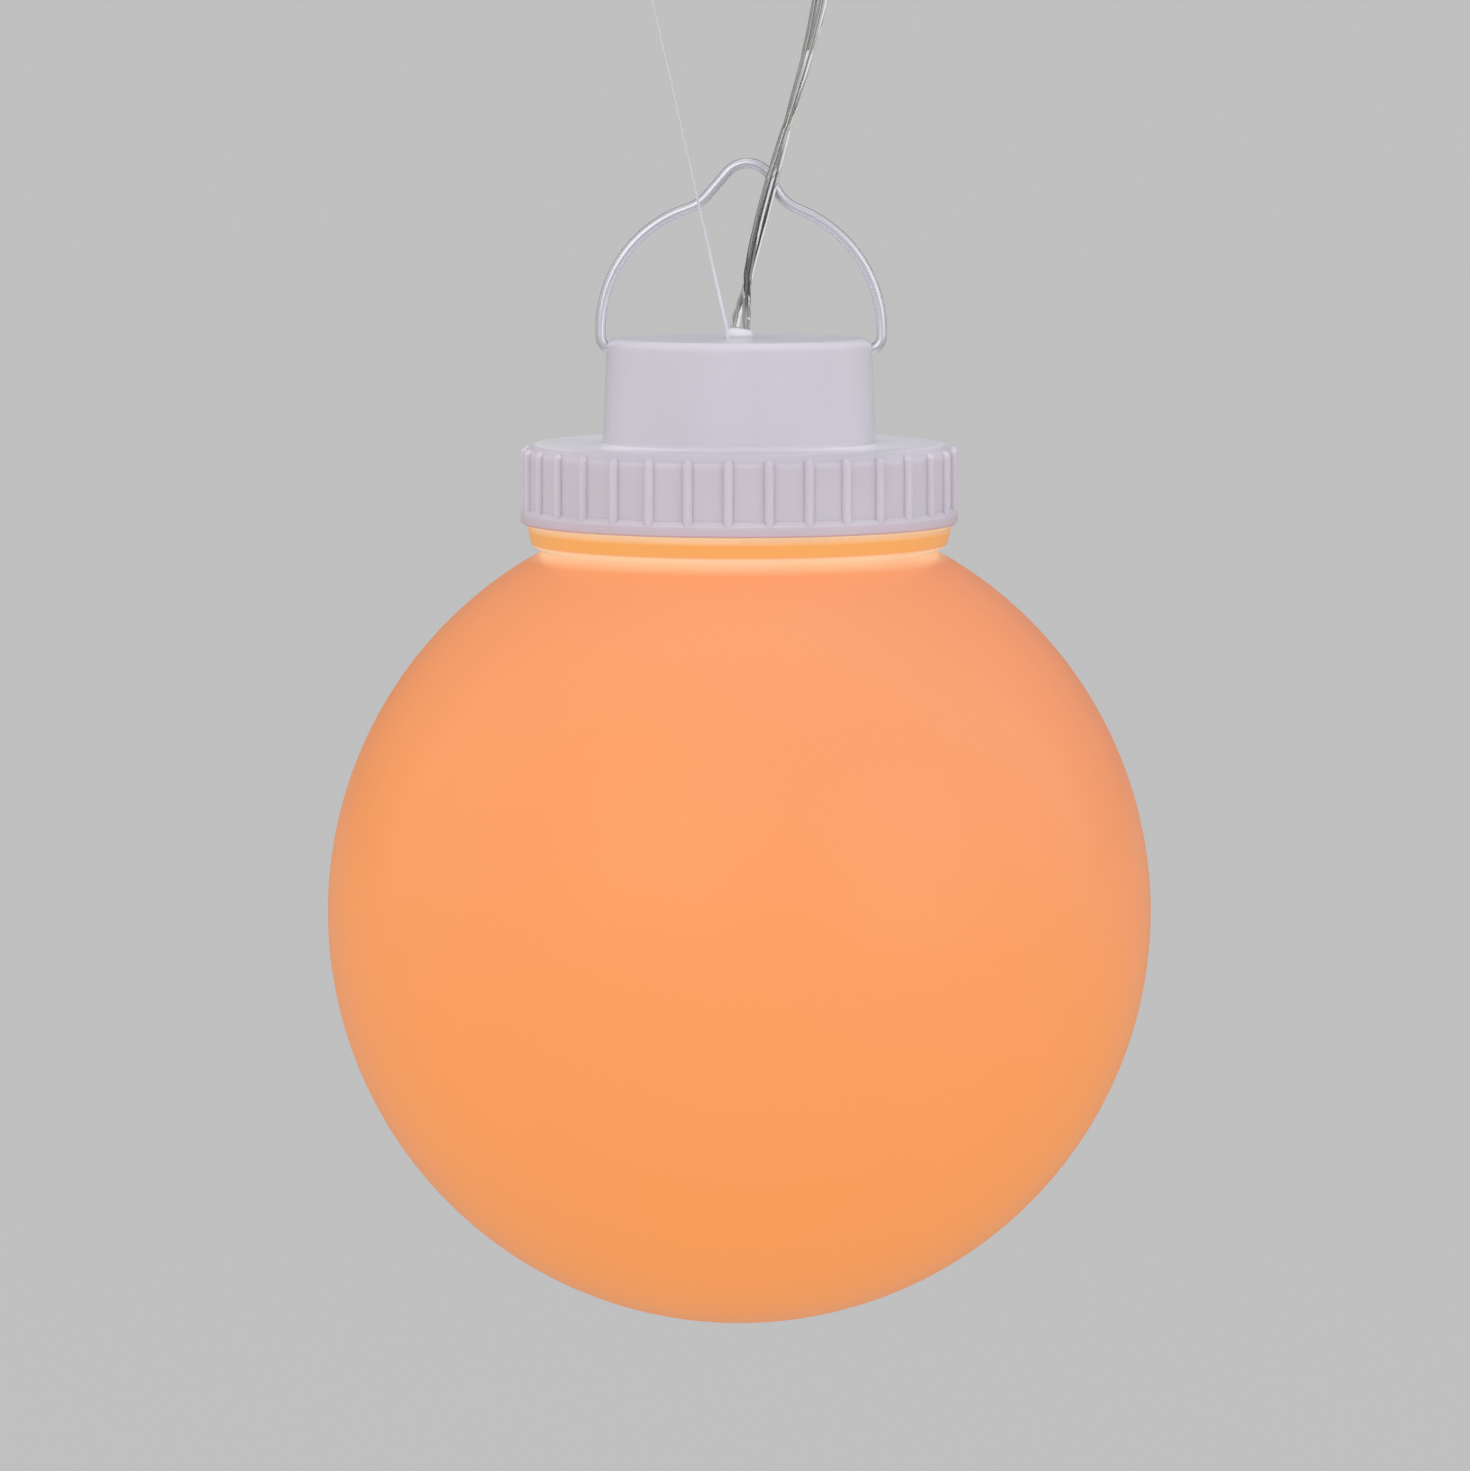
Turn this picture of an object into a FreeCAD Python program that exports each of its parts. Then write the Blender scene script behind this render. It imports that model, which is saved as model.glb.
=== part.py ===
import FreeCAD, Part
import Sketcher
import math
import os

# Hanging LED ball light: an orange blow-moulded globe under a ribbed screw cap, with a bent wire bail.
# Z is up, X runs along the bail and -Y is the front. The origin is the hang point: the underside of
# the bail's crest over the globe's axis. Heights are given above the globe's centre, levels in the frame.

doc = FreeCAD.newDocument("ball_light")
sheet = doc.addObject("Spreadsheet::Sheet", "Sizes")

SIZES = [
    ("globe_radius", "75", "outside of the globe"),
    ("globe_wall", "1.4", "blown wall of the globe and its neck"),
    ("grip_radius", "38.7", "skirt of the cap between the ribs"),
    ("skirt_wall", "1.6", "wall of the skirt"),
    ("skirt_height", "14.4", "lower rim of the cap up to its shoulder"),
    ("skirt_gap", "0.3", "bead of the globe up to the lower rim"),
    ("band_height", "1.9", "height of the plain band along the rim"),
    ("band_edge", "0.35", "broken lower edge of the band"),
    ("shoulder_round", "2.4", "rounding from skirt to shoulder"),
    ("shoulder_thick", "2", "thickness of the shoulder"),
    ("rib_radius", "0.9", "half width of a grip rib"),
    ("rib_drop", "0.8", "shoulder down to the tops of the ribs"),
    ("rib_count", "34", "grip ribs round the skirt"),
    ("rib_turn", "-2.9", "angle of the first rib from the front"),
    ("bead_inset", "1.25", "bead of the globe inside the band"),
    ("bead_height", "4.87", "waist of the globe up to the bead's top"),
    ("bead_taper", "0.5", "bead narrower at its foot"),
    ("bead_round", "1.2", "lower rounding of the bead"),
    ("bead_edge", "0.8", "upper rounding of the bead"),
    ("waist_inset", "2.6", "waist of the globe inside the bead"),
    ("waist_rise", "0.8", "straight waist under the bead"),
    ("neck_gap", "3", "room for the screw thread"),
    ("gasket_thick", "2", "neck gasket between rim and shoulder"),
    ("gasket_play", "0.5", "gasket inside the skirt"),
    ("gasket_overhang", "1.8", "gasket inside the neck's outline"),
    ("turret_base_radius", "24.7", "turret above its root rounding"),
    ("turret_draft", "0.75", "taper of the turret"),
    ("turret_root_round", "0.6", "rounding at the root of the turret"),
    ("turret_height", "18.9", "shoulder up to the turret's flat top"),
    ("turret_top_round", "1.6", "rounding round the turret's top"),
    ("turret_wall", "1.6", "side wall of the turret"),
    ("roof_thick", "1.8", "roof of the turret"),
    ("pivot_drop", "2.05", "turret's top down to the axis of the bail's ends"),
    ("boss_inset", "0.3", "outer end of a boss inside the turret's foot"),
    ("boss_length", "5.3", "length of a bail boss"),
    ("boss_half", "3", "half width of a bail boss"),
    ("boss_drop", "3", "depth of a boss under the pivot"),
    ("pivot_clearance", "0.05", "play round a bail end"),
    ("wall_hole_gap", "0.8", "hole in the turret's wall round a bail end"),
    ("wire_radius", "0.93", "coated wire of the bail"),
    ("wire_end_gap", "0.8", "tip of the wire from the boss's inner face"),
    ("wire_bend", "2.4", "bend at the foot of an arm"),
    ("arm_gap_left", "0.19", "left arm clear of the turret"),
    ("arm_gap_right", "0.86", "right arm clear of the turret"),
    ("crest_rise", "31.45", "turret's top up to the wire's centre at the crest"),
    ("crest_shift", "1.417", "crest to the right of the axis"),
    ("crest_round", "4.85", "bend of the crest"),
    ("throat_round", "7.98", "reverse bend beside the crest"),
    ("leg_left", "5.45", "straight run left of the crest"),
    ("leg_right", "0.567", "straight run right of the crest"),
    ("leg_left_angle", "49.165", "fall of the left run"),
    ("leg_right_angle", "69.247", "fall of the right run"),
    ("throat_left_angle", "18.018", "slope where the left shoulder starts"),
    ("throat_right_angle", "21.414", "slope where the right shoulder starts"),
    ("post_inset", "4.8", "screw posts from the turret's inside"),
    ("post_radius", "3", "screw post"),
    ("post_count", "3", "screw posts under the roof"),
    ("screw_radius", "1.3", "shank of a cover screw"),
    ("screw_play", "0.05", "pilot bore round a shank"),
    ("screw_pass", "0.3", "through bore round a shank"),
    ("screw_grip", "8", "shank inside a post"),
    ("screw_head_radius", "2.6", "head of a cover screw"),
    ("screw_head", "1.8", "height of that head"),
    ("carrier_gap", "1.2", "lamp carrier inside the neck"),
    ("carrier_thick", "1.9", "thickness of the carrier"),
    ("carrier_bore", "4", "lead hole in the carrier"),
    ("oring_cord", "0.5", "half thickness of the carrier's seal"),
    ("oring_play", "0.1", "groove wider than the seal"),
    ("flange_margin", "4.3", "flange of the light cover beyond its screws"),
    ("flange_thick", "1.5", "thickness of that flange"),
    ("cover_gap", "0.5", "cup of the light cover inside the screw heads"),
    ("cover_wall", "1.3", "wall of the cup"),
    ("cover_side", "4.5", "straight side of the cup"),
    ("cover_sag", "5.5", "dome of the cup"),
    ("board_gap", "0.3", "led board inside the cup"),
    ("board_thick", "1.6", "thickness of the board"),
    ("board_drawn", "13.6", "board radius that the board's parts are drawn for"),
    ("board_screw_drawn_ring", "11.2", "board screws from the axis"),
    ("board_screw_radius", "0.9", "shank of a board screw"),
    ("board_screw_drawn_head", "1.7", "head of a board screw"),
    ("board_screw_head", "1.1", "height of that head"),
    ("board_screw_grip", "1.5", "shank inside the carrier"),
    ("led_drawn_ring", "8.6", "circle of the led packages"),
    ("led_drawn_half", "2.5", "half side of a led package"),
    ("led_thick", "1.6", "height of a package"),
    ("led_count", "6", "led packages"),
    ("window_inset", "0.65", "window of a package inside its side"),
    ("window_depth", "0.7", "depth of the window"),
    ("window_play", "0.05", "recess round the window"),
    ("window_proud", "0.1", "window beyond the package"),
    ("chip_drawn_long", "2.5", "half length of the control chip"),
    ("chip_drawn_wide", "1.95", "half width of the control chip"),
    ("chip_thick", "1.5", "height of the control chip"),
    ("resistor_drawn_offset", "4.6", "resistors from the axis"),
    ("resistor_drawn_long", "1.6", "half length of a resistor"),
    ("resistor_drawn_wide", "0.8", "half width of a resistor"),
    ("resistor_thick", "0.6", "height of a resistor"),
    ("solder_offset", "2.1", "solder joints from the axis"),
    ("solder_radius", "1", "foot of a solder joint"),
    ("solder_tip", "0.5", "top of a solder joint"),
    ("solder_height", "1", "height of a solder joint"),
    ("gland_radius", "2.3", "mound of the cable gland"),
    ("gland_taper", "0.5", "mound's foot beyond its top"),
    ("gland_height", "1.2", "mound above the roof"),
    ("gland_round", "1.4", "bulge of the mound"),
    ("gland_waist_inset", "0.35", "gland inside the roof, within the mound"),
    ("gland_play", "0.05", "gland hole in the roof round the gland"),
    ("gland_flange_margin", "2.25", "gland flange under the roof, beyond the gland"),
    ("gland_flange_thick", "1.2", "thickness of that flange"),
    ("core_radius", "0.77", "one core of the twin cable"),
    ("core_offset", "0.73", "core from the middle of the cable"),
    ("slot_play", "0.1", "slot round the cable"),
    ("clip_margin", "1.5", "strain clip round the cable"),
    ("clip_height", "3", "height of the strain clip"),
    ("split_drop", "8.9", "turret's top down to where the cable parts into its leads"),
    ("lead_radius", "0.55", "a lead inside the turret"),
    ("lead_spread_drop", "14.4", "turret's top down to where a lead turns straight down"),
    ("thread_radius", "0.32", "hanging thread"),
    ("thread_play", "0.18", "thread hole in the roof round the thread"),
    ("stop_radius", "0.9", "knot on the thread under the roof"),
    ("fitting_wall", "3.5", "wall of the cable's ceiling fitting"),
    ("fitting_body", "8", "height of that wall"),
    ("fitting_bore_depth", "6", "socket for the cable"),
    ("fitting_flange_margin", "6", "ceiling flange of the fitting beyond its wall"),
    ("fitting_flange_thick", "2.5", "thickness of that flange"),
    ("fitting_hole_radius", "1.6", "fixing hole"),
    ("knot_play", "0.02", "bore of a knot round the thread"),
    ("knot_radius", "0.9", "knot at the end of the thread"),
    ("loop_radius", "2.4", "loop above the knot"),
]

# Route points, each across, forward and up from the turret's top: the cable from its split up to the
# ceiling fitting, and the thread from its knot under the roof to its loop.
ROUTES = {
    "cable": [("0", "0", "-8.9"), ("0", "0", "4.9"), ("5.5", "-3.5", "27.8"), ("15.55", "-4", "63.8"),
              ("15.55", "-4", "74.4")],
    "thread": [("-2.1", "-7", "-3.5"), ("-2.1", "-7", "2.2"), ("-16.84", "-6", "65.9")],
}

# Radii that follow from others, from the outside inwards
RADII = [
    ("band_radius", "=grip_radius + rib_radius", "plain band along the lower rim"),
    ("skirt_bore", "=grip_radius - skirt_wall", "inside of the skirt"),
    ("bead_radius", "=band_radius - bead_inset", "bead round the globe's neck"),
    ("waist_radius", "=bead_radius - waist_inset", "globe where the bead starts"),
    ("neck_radius", "=skirt_bore - neck_gap", "screw neck of the globe"),
    ("neck_bore", "=neck_radius - globe_wall", "inside of the neck"),
    ("hollow_radius", "=globe_radius - globe_wall", "inside of the globe"),
    ("gasket_inner", "=neck_radius - gasket_overhang", "inside of the neck gasket"),
    ("gasket_outer", "=skirt_bore - gasket_play", "outside of the neck gasket"),
    ("turret_top_radius", "=turret_base_radius - turret_draft", "turret below its top rounding"),
    ("turret_inside", "=turret_base_radius - turret_wall", "inside of the turret at its foot"),
    ("carrier_radius", "=neck_bore - carrier_gap", "lamp carrier"),
    ("oring_radius", "=(turret_inside + carrier_radius) / 2", "centre line of the carrier's seal"),
    ("post_ring", "=turret_inside - post_inset", "circle of the screw posts"),
    ("cover_flange", "=post_ring + flange_margin", "flange of the light cover"),
    ("cover_radius", "=post_ring - screw_head_radius - cover_gap", "outside of the cup"),
    ("cup_radius", "=cover_radius - cover_wall", "inside of the cup"),
    ("board_radius", "=cup_radius - board_gap", "led board"),
    ("board_scale", "=board_radius / board_drawn", "size of the board's parts"),
    ("board_screw_ring", "=board_screw_drawn_ring * board_scale", "board screws from the axis"),
    ("board_screw_head_radius", "=board_screw_drawn_head * board_scale", "head of a board screw"),
    ("led_ring", "=led_drawn_ring * board_scale", "circle of the led packages"),
    ("led_half", "=led_drawn_half * board_scale", "half side of a led package"),
    ("window_radius", "=led_half - window_inset", "window of a package"),
    ("chip_half_long", "=chip_drawn_long * board_scale", "half length of the control chip"),
    ("chip_half_wide", "=chip_drawn_wide * board_scale", "half width of the control chip"),
    ("resistor_offset", "=resistor_drawn_offset * board_scale", "resistors from the axis"),
    ("resistor_half_long", "=resistor_drawn_long * board_scale", "half length of a resistor"),
    ("resistor_half_wide", "=resistor_drawn_wide * board_scale", "half width of a resistor"),
    ("boss_outer", "=turret_inside - boss_inset", "outer end of a boss"),
    ("boss_inner", "=boss_outer - boss_length", "inner face of a boss"),
    ("wire_end", "=boss_inner + wire_end_gap", "tips of the bail"),
    ("bore_radius", "=wire_radius + pivot_clearance", "bore for a bail end"),
    ("arm_left", "=turret_top_radius + wire_radius + arm_gap_left", "left arm from the axis"),
    ("arm_right", "=turret_top_radius + wire_radius + arm_gap_right", "right arm from the axis"),
    ("gland_top_radius", "=gland_radius - gland_taper", "top of the mound"),
    ("gland_waist", "=gland_radius - gland_waist_inset", "gland inside the roof"),
    ("gland_hole", "=gland_waist + gland_play", "gland hole in the roof"),
    ("gland_flange", "=gland_waist + gland_flange_margin", "gland flange under the roof"),
    ("clip_radius", "=core_offset + core_radius + clip_margin", "strain clip under the gland"),
    ("thread_hole", "=thread_radius + thread_play", "thread hole in the roof"),
    ("fitting_radius", "=core_offset + core_radius + fitting_wall", "wall of the ceiling fitting"),
    ("fitting_flange", "=fitting_radius + fitting_flange_margin", "ceiling flange"),
    ("fitting_hole_offset", "=fitting_radius + fitting_flange_margin / 2", "fixing holes from the cable"),
]

# Heights above the globe's centre, each from the one that carries it, and then their levels in the frame
HEIGHTS = [
    ("waist", "sqrt(globe_radius^2 - waist_radius^2)"), ("bead_top", "waist_height + bead_height"),
    ("ring_base", "bead_top_height + skirt_gap"), ("ring_plane", "ring_base_height + skirt_height"),
    ("lip", "ring_plane_height - shoulder_thick - gasket_thick"), ("rib_top", "ring_plane_height - rib_drop"),
    ("turret_top", "ring_plane_height + turret_height"), ("pivot", "turret_top_height - pivot_drop"),
    ("split", "turret_top_height - split_drop"), ("lead_spread", "turret_top_height - lead_spread_drop"),
    ("crest", "turret_top_height + crest_rise"),
]

DERIVED = [
    ("hang_drop", "=crest_height - crest_round + sqrt((crest_round - wire_radius)^2 - crest_shift^2)",
     "hang point above the globe's centre"),
    ("centre_level", "=-hang_drop", "globe's centre"),
    ("shoulder_level", "=ring_plane_level - shoulder_thick", "underside of the shoulder"),
    ("roof_level", "=turret_top_level - roof_thick", "underside of the roof"),
    ("rib_dome_level", "=rib_top_level - rib_radius", "centre of a rib's domed end"),
    ("hollow_rise", "=sqrt(hollow_radius^2 - neck_bore^2)", "where the hollow meets the neck's bore"),
    ("hollow_level", "=hollow_rise - hang_drop", "the same in the frame"),
    ("carrier_level", "=shoulder_level - carrier_thick", "underside of the carrier"),
    ("flange_level", "=carrier_level - flange_thick", "underside of the cover flange"),
    ("cup_level", "=flange_level - cover_side", "where the cup's dome starts"),
    ("dome_radius", "=(cover_radius^2 + cover_sag^2) / (2 * cover_sag)", "outside of the cup's dome"),
    ("dome_hollow", "=(cup_radius^2 + (cover_sag - cover_wall)^2) / (2 * (cover_sag - cover_wall))",
     "inside of the cup's dome"),
    ("board_level", "=carrier_level - board_thick", "underside of the board"),
    ("stop_level", "=roof_level - sqrt(stop_radius^2 - thread_hole^2)", "centre of the knot under the roof"),
    ("knot_level", "=turret_top_level + thread_up_2 + knot_radius + knot_play",
     "centre of the knot at the end"),
    ("cable_top_level", "=turret_top_level + cable_up_4", "end of the cable"),
    ("led_level", "=board_level - led_thick", "face of the led packages"),
    ("gland_flange_level", "=roof_level - gland_flange_thick", "underside of the gland's flange"),
    ("clip_level", "=gland_flange_level - clip_height", "underside of the strain clip"),
    ("right_crest_x", "=crest_shift + crest_round * sin(leg_right_angle)", "end of the crest bend, right"),
    ("right_crest_z", "=crest_level - crest_round * (1 - cos(leg_right_angle))", "its level"),
    ("right_leg_x", "=right_crest_x + leg_right * cos(leg_right_angle)", "end of the right run"),
    ("right_leg_z", "=right_crest_z - leg_right * sin(leg_right_angle)", "its level"),
    ("right_throat_x", "=right_leg_x + throat_round * (sin(leg_right_angle) - sin(throat_right_angle))",
     "start of the right shoulder"),
    ("right_throat_z", "=right_leg_z - throat_round * (cos(throat_right_angle) - cos(leg_right_angle))",
     "its level"),
    ("right_sweep", "=(arm_right - right_throat_x) / (1 - sin(throat_right_angle))",
     "bend of the right shoulder"),
    ("right_arm_z", "=right_throat_z - right_sweep * cos(throat_right_angle)", "top of the right arm"),
    ("left_crest_x", "=crest_shift - crest_round * sin(leg_left_angle)", "end of the crest bend, left"),
    ("left_crest_z", "=crest_level - crest_round * (1 - cos(leg_left_angle))", "its level"),
    ("left_leg_x", "=left_crest_x - leg_left * cos(leg_left_angle)", "end of the left run"),
    ("left_leg_z", "=left_crest_z - leg_left * sin(leg_left_angle)", "its level"),
    ("left_throat_x", "=left_leg_x - throat_round * (sin(leg_left_angle) - sin(throat_left_angle))",
     "start of the left shoulder"),
    ("left_throat_z", "=left_leg_z - throat_round * (cos(throat_left_angle) - cos(leg_left_angle))",
     "its level"),
    ("left_sweep", "=(arm_left + left_throat_x) / (1 - sin(throat_left_angle))", "bend of the left shoulder"),
    ("left_arm_z", "=left_throat_z - left_sweep * cos(throat_left_angle)", "top of the left arm"),
]

row = 0


def write_cell(name, text, meaning):
    global row
    row += 1
    sheet.set("A%d" % row, name)
    sheet.set("B%d" % row, text)
    sheet.set("C%d" % row, meaning)
    sheet.setAlias("B%d" % row, name)


for entry in SIZES:
    write_cell(*entry)
for route, points in ROUTES.items():
    for number, point in enumerate(points):
        for side, text in zip(("across", "forward", "up"), point):
            write_cell("%s_%s_%d" % (route, side, number), text, "point %d of the %s" % (number, route))
for entry in RADII:
    write_cell(*entry)
for name, text in HEIGHTS:
    write_cell(name + "_height", "=" + text, "above the globe's centre")
write_cell(*DERIVED[0])
for name, text in HEIGHTS:
    write_cell(name + "_level", "=%s_height - hang_drop" % name, "the same height in the frame")
for entry in DERIVED[1:]:
    write_cell(*entry)
doc.recompute()


def size(name):
    found = getattr(sheet, name)
    return float(getattr(found, "Value", found))


def terms(text):
    """The signed factors of a sum such as "a + 2*b - c"."""
    sign = 1.0
    for word in text.split():
        if word in ("+", "-"):
            sign = 1.0 if word == "+" else -1.0
            continue
        if word.startswith("-"):
            sign, word = -sign, word[1:]
        factor, _, name = word.rpartition("*")
        yield sign * (float(factor) if factor else 1.0), name
        sign = 1.0


def worth(text):
    if text == "0":
        return 0.0
    return sum(factor * size(name) for factor, name in terms(text))


def linked(text):
    return " + ".join("%r * Sizes.%s" % (factor, name) for factor, name in terms(text))


def new_body(name):
    body = doc.addObject("PartDesign::Body", name)
    body.Label = name
    return body


def new_sketch(body, name, plane, lift=None, turn=None):
    """A sketch on one of the body's own planes, lifted along the plane's normal."""
    sketch = body.newObject("Sketcher::SketchObject", name)
    for feature in body.Origin.OriginFeatures:
        if feature.Role == plane:
            sketch.AttachmentSupport = [(feature, "")]
    sketch.MapMode = "FlatFace"
    if turn:
        turned = FreeCAD.Rotation(FreeCAD.Vector(0, 1, 0), 1)
        sketch.AttachmentOffset = FreeCAD.Placement(FreeCAD.Vector(), turned)
        sketch.setExpression("AttachmentOffset.Rotation.Angle", linked(turn))
    if lift:
        sketch.setExpression("AttachmentOffset.Base.z", linked(lift))
    return sketch


def fix(sketch, kind, geometry, position, text):
    """Holds one coordinate of a point to the sheet."""
    if text == "0":
        sketch.addConstraint(Sketcher.Constraint("PointOnObject", geometry, position,
                                                 -2 if kind == "DistanceX" else -1))
        return
    index = sketch.addConstraint(Sketcher.Constraint(kind, -1, 1, geometry, position, worth(text)))
    sketch.setExpression("Constraints[%d]" % index, linked(text))


def bend(sketch, first, last, text, side):
    """An arc of the shorter way between two points, bulging to the right of its run for side 1."""
    radius = worth(text)
    run = last - first
    middle = (first + last) * 0.5
    normal = FreeCAD.Vector(run.y, -run.x, 0).normalize() * side
    centre = middle - normal * math.sqrt(max(radius ** 2 - (run.Length / 2) ** 2, 0.0))
    geometry = sketch.addGeometry(Part.Arc(first, centre + normal * radius, last), False)
    index = sketch.addConstraint(Sketcher.Constraint("Radius", geometry, radius))
    sketch.setExpression("Constraints[%d]" % index, linked(text))
    return geometry


def outline(sketch, corners, bends=None, closed=True):
    """Lines and arcs through corners; bends maps a corner's number to the arc that starts there."""
    bends = bends or {}
    points = [FreeCAD.Vector(worth(x), worth(y), 0) for x, y in corners]
    count = len(points)
    runs = []
    for number in range(count if closed else count - 1):
        first, last = points[number], points[(number + 1) % count]
        if number in bends:
            geometry = bend(sketch, first, last, *bends[number])
        else:
            geometry = sketch.addGeometry(Part.LineSegment(first, last), False)
        end = sketch.getPoint(geometry, 1)
        starts = 1 if (end - first).Length < (end - last).Length else 2
        runs.append((geometry, starts, 3 - starts))
    for number, (geometry, start, end) in enumerate(runs):
        fix(sketch, "DistanceX", geometry, start, corners[number][0])
        fix(sketch, "DistanceY", geometry, start, corners[number][1])
        if number + 1 < len(runs) or closed:
            after = runs[(number + 1) % len(runs)]
            sketch.addConstraint(Sketcher.Constraint("Coincident", geometry, end, after[0], after[1]))
        else:
            fix(sketch, "DistanceX", geometry, end, corners[-1][0])
            fix(sketch, "DistanceY", geometry, end, corners[-1][1])


def circle(sketch, x, y, radius):
    centre = FreeCAD.Vector(worth(x), worth(y), 0)
    geometry = sketch.addGeometry(Part.Circle(centre, FreeCAD.Vector(0, 0, 1), worth(radius)), False)
    index = sketch.addConstraint(Sketcher.Constraint("Radius", geometry, worth(radius)))
    sketch.setExpression("Constraints[%d]" % index, linked(radius))
    fix(sketch, "DistanceX", geometry, 3, x)
    fix(sketch, "DistanceY", geometry, 3, y)


def rectangle(sketch, left, right, low, high):
    outline(sketch, [(left, low), (right, low), (right, high), (left, high)])


def slot(sketch, radius):
    """The twin cable's outline: two round ends joined by flat sides."""
    reach, round_end = worth("core_offset"), worth(radius)
    across = FreeCAD.Vector(reach, 0, 0)
    lift = FreeCAD.Vector(0, round_end, 0)
    up = FreeCAD.Vector(0, 0, 1)
    quarter = math.pi / 2
    right = sketch.addGeometry(Part.ArcOfCircle(Part.Circle(across, up, round_end), -quarter, quarter))
    top = sketch.addGeometry(Part.LineSegment(across + lift, lift - across))
    left = sketch.addGeometry(Part.ArcOfCircle(Part.Circle(-across, up, round_end), quarter, 3 * quarter))
    low = sketch.addGeometry(Part.LineSegment(-across - lift, across - lift))
    for first, second in ((right, top), (top, left), (left, low), (low, right)):
        sketch.addConstraint(Sketcher.Constraint("Tangent", first, 2, second, 1))
    sketch.addConstraint(Sketcher.Constraint("Equal", right, left))
    index = sketch.addConstraint(Sketcher.Constraint("Radius", right, round_end))
    sketch.setExpression("Constraints[%d]" % index, linked(radius))
    for geometry, text in ((right, "core_offset"), (left, "-core_offset")):
        fix(sketch, "DistanceX", geometry, 3, text)
        fix(sketch, "DistanceY", geometry, 3, "0")


def spin_axis(sketch, x):
    """An upright construction line to turn a profile about, away from the body's own axis."""
    low, high = worth("ring_base_level"), worth("turret_top_level")
    across = worth(x)
    foot, head = FreeCAD.Vector(across, low, 0), FreeCAD.Vector(across, high, 0)
    line = sketch.addGeometry(Part.LineSegment(foot, head), True)
    fix(sketch, "DistanceX", line, 1, x)
    fix(sketch, "DistanceY", line, 1, "ring_base_level")
    fix(sketch, "DistanceX", line, 2, x)
    fix(sketch, "DistanceY", line, 2, "turret_top_level")
    return "Axis0"


def revolve(body, name, sketch, axis="V_Axis", cut=False):
    feature = body.newObject("PartDesign::Groove" if cut else "PartDesign::Revolution", name)
    feature.Profile = sketch
    feature.ReferenceAxis = (sketch, [axis])
    feature.Angle = 360
    sketch.Visibility = False
    doc.recompute()
    return feature


def pad(body, name, sketch, length, down=False):
    feature = body.newObject("PartDesign::Pad", name)
    feature.Profile = sketch
    feature.setExpression("Length", linked(length))
    feature.Reversed = down
    doc.recompute()
    return feature


def pocket(body, name, sketch, length, up=False):
    """A pocket that must remove something."""
    before = body.Shape.Volume
    feature = body.newObject("PartDesign::Pocket", name)
    feature.Profile = sketch
    feature.setExpression("Length", linked(length))
    feature.Reversed = up
    doc.recompute()
    if body.Shape.Volume >= before * (1 - 1e-9):
        raise RuntimeError(name + " removes nothing")
    return feature


def ring_of(body, name, features, count):
    pattern = body.newObject("PartDesign::PolarPattern", name)
    pattern.Originals = features
    for feature in body.Origin.OriginFeatures:
        if feature.Role == "Z_Axis":
            pattern.Axis = (feature, [""])
    pattern.Angle = 360
    body.Tip = pattern
    pattern.setExpression("Occurrences", "Sizes." + count)
    doc.recompute()
    return pattern


def pair_of(body, name, features):
    """The same features again, half a turn round the axis."""
    pattern = body.newObject("PartDesign::PolarPattern", name)
    pattern.Originals = features
    for feature in body.Origin.OriginFeatures:
        if feature.Role == "Z_Axis":
            pattern.Axis = (feature, [""])
    pattern.Angle = 360
    pattern.Occurrences = 2
    body.Tip = pattern
    doc.recompute()
    return pattern


def upright(name, x, corners, plane="XZ_Plane", bends=None):
    """A turned solid about an upright line at x."""
    body = new_body(name)
    profile = new_sketch(body, name + "_profile", plane)
    axis = "V_Axis" if x == "0" else spin_axis(profile, x)
    outline(profile, corners, bends)
    return body, revolve(body, name + "_turned", profile, axis)


def disc(body, name, level, circles, length, down=False):
    sketch = new_sketch(body, name + "_outline", "XY_Plane", lift=level)
    for x, y, radius in circles:
        circle(sketch, x, y, radius)
    return pad(body, name, sketch, length, down)


def drill(body, name, level, circles, length, up=False):
    sketch = new_sketch(body, name + "_outline", "XY_Plane", lift=level)
    for x, y, radius in circles:
        circle(sketch, x, y, radius)
    return pocket(body, name, sketch, length, up)


def smooth_route(points):
    """Straight runs joined by tangent arcs."""
    edges, start, radii = [], points[0], []
    for before, corner, after in zip(points, points[1:], points[2:]):
        inward, outward = before - corner, after - corner
        reach = 0.45 * min(inward.Length, outward.Length)
        half_turn = (math.pi - inward.getAngle(outward)) / 2
        inward.normalize()
        outward.normalize()
        radius = reach / math.tan(half_turn)
        middle_way = (inward + outward).normalize()
        centre = corner + middle_way * (radius / math.cos(half_turn))
        first, last = corner + inward * reach, corner + outward * reach
        edges.append(Part.makeLine(start, first))
        edges.append(Part.Arc(first, centre - middle_way * radius, last).toShape())
        radii.append(round(radius, 2))
        start = last
    edges.append(Part.makeLine(start, points[-1]))
    return Part.Wire(edges), radii


def tube(name, points, section):
    """A cord or lead swept along its route; its volume is compared with its section and length."""
    wire, radii = smooth_route(points)
    solid = wire.makePipeShell([section], True, False)
    feature = doc.addObject("Part::Feature", name)
    feature.Shape = solid
    feature.Label = name
    expected = Part.Face(section).Area * wire.Length
    share = solid.Volume / expected
    print(name, "length", round(wire.Length, 2), "bend radii", radii, "volume", round(share, 4))
    if not 0.98 < share < 1.02:
        raise RuntimeError(name + " has the wrong volume")
    return feature


def route_points(route):
    return [FreeCAD.Vector(size("%s_across_%d" % (route, number)), size("%s_forward_%d" % (route, number)),
                           size("%s_up_%d" % (route, number)) + size("turret_top_level"))
            for number in range(len(ROUTES[route]))]


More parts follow.
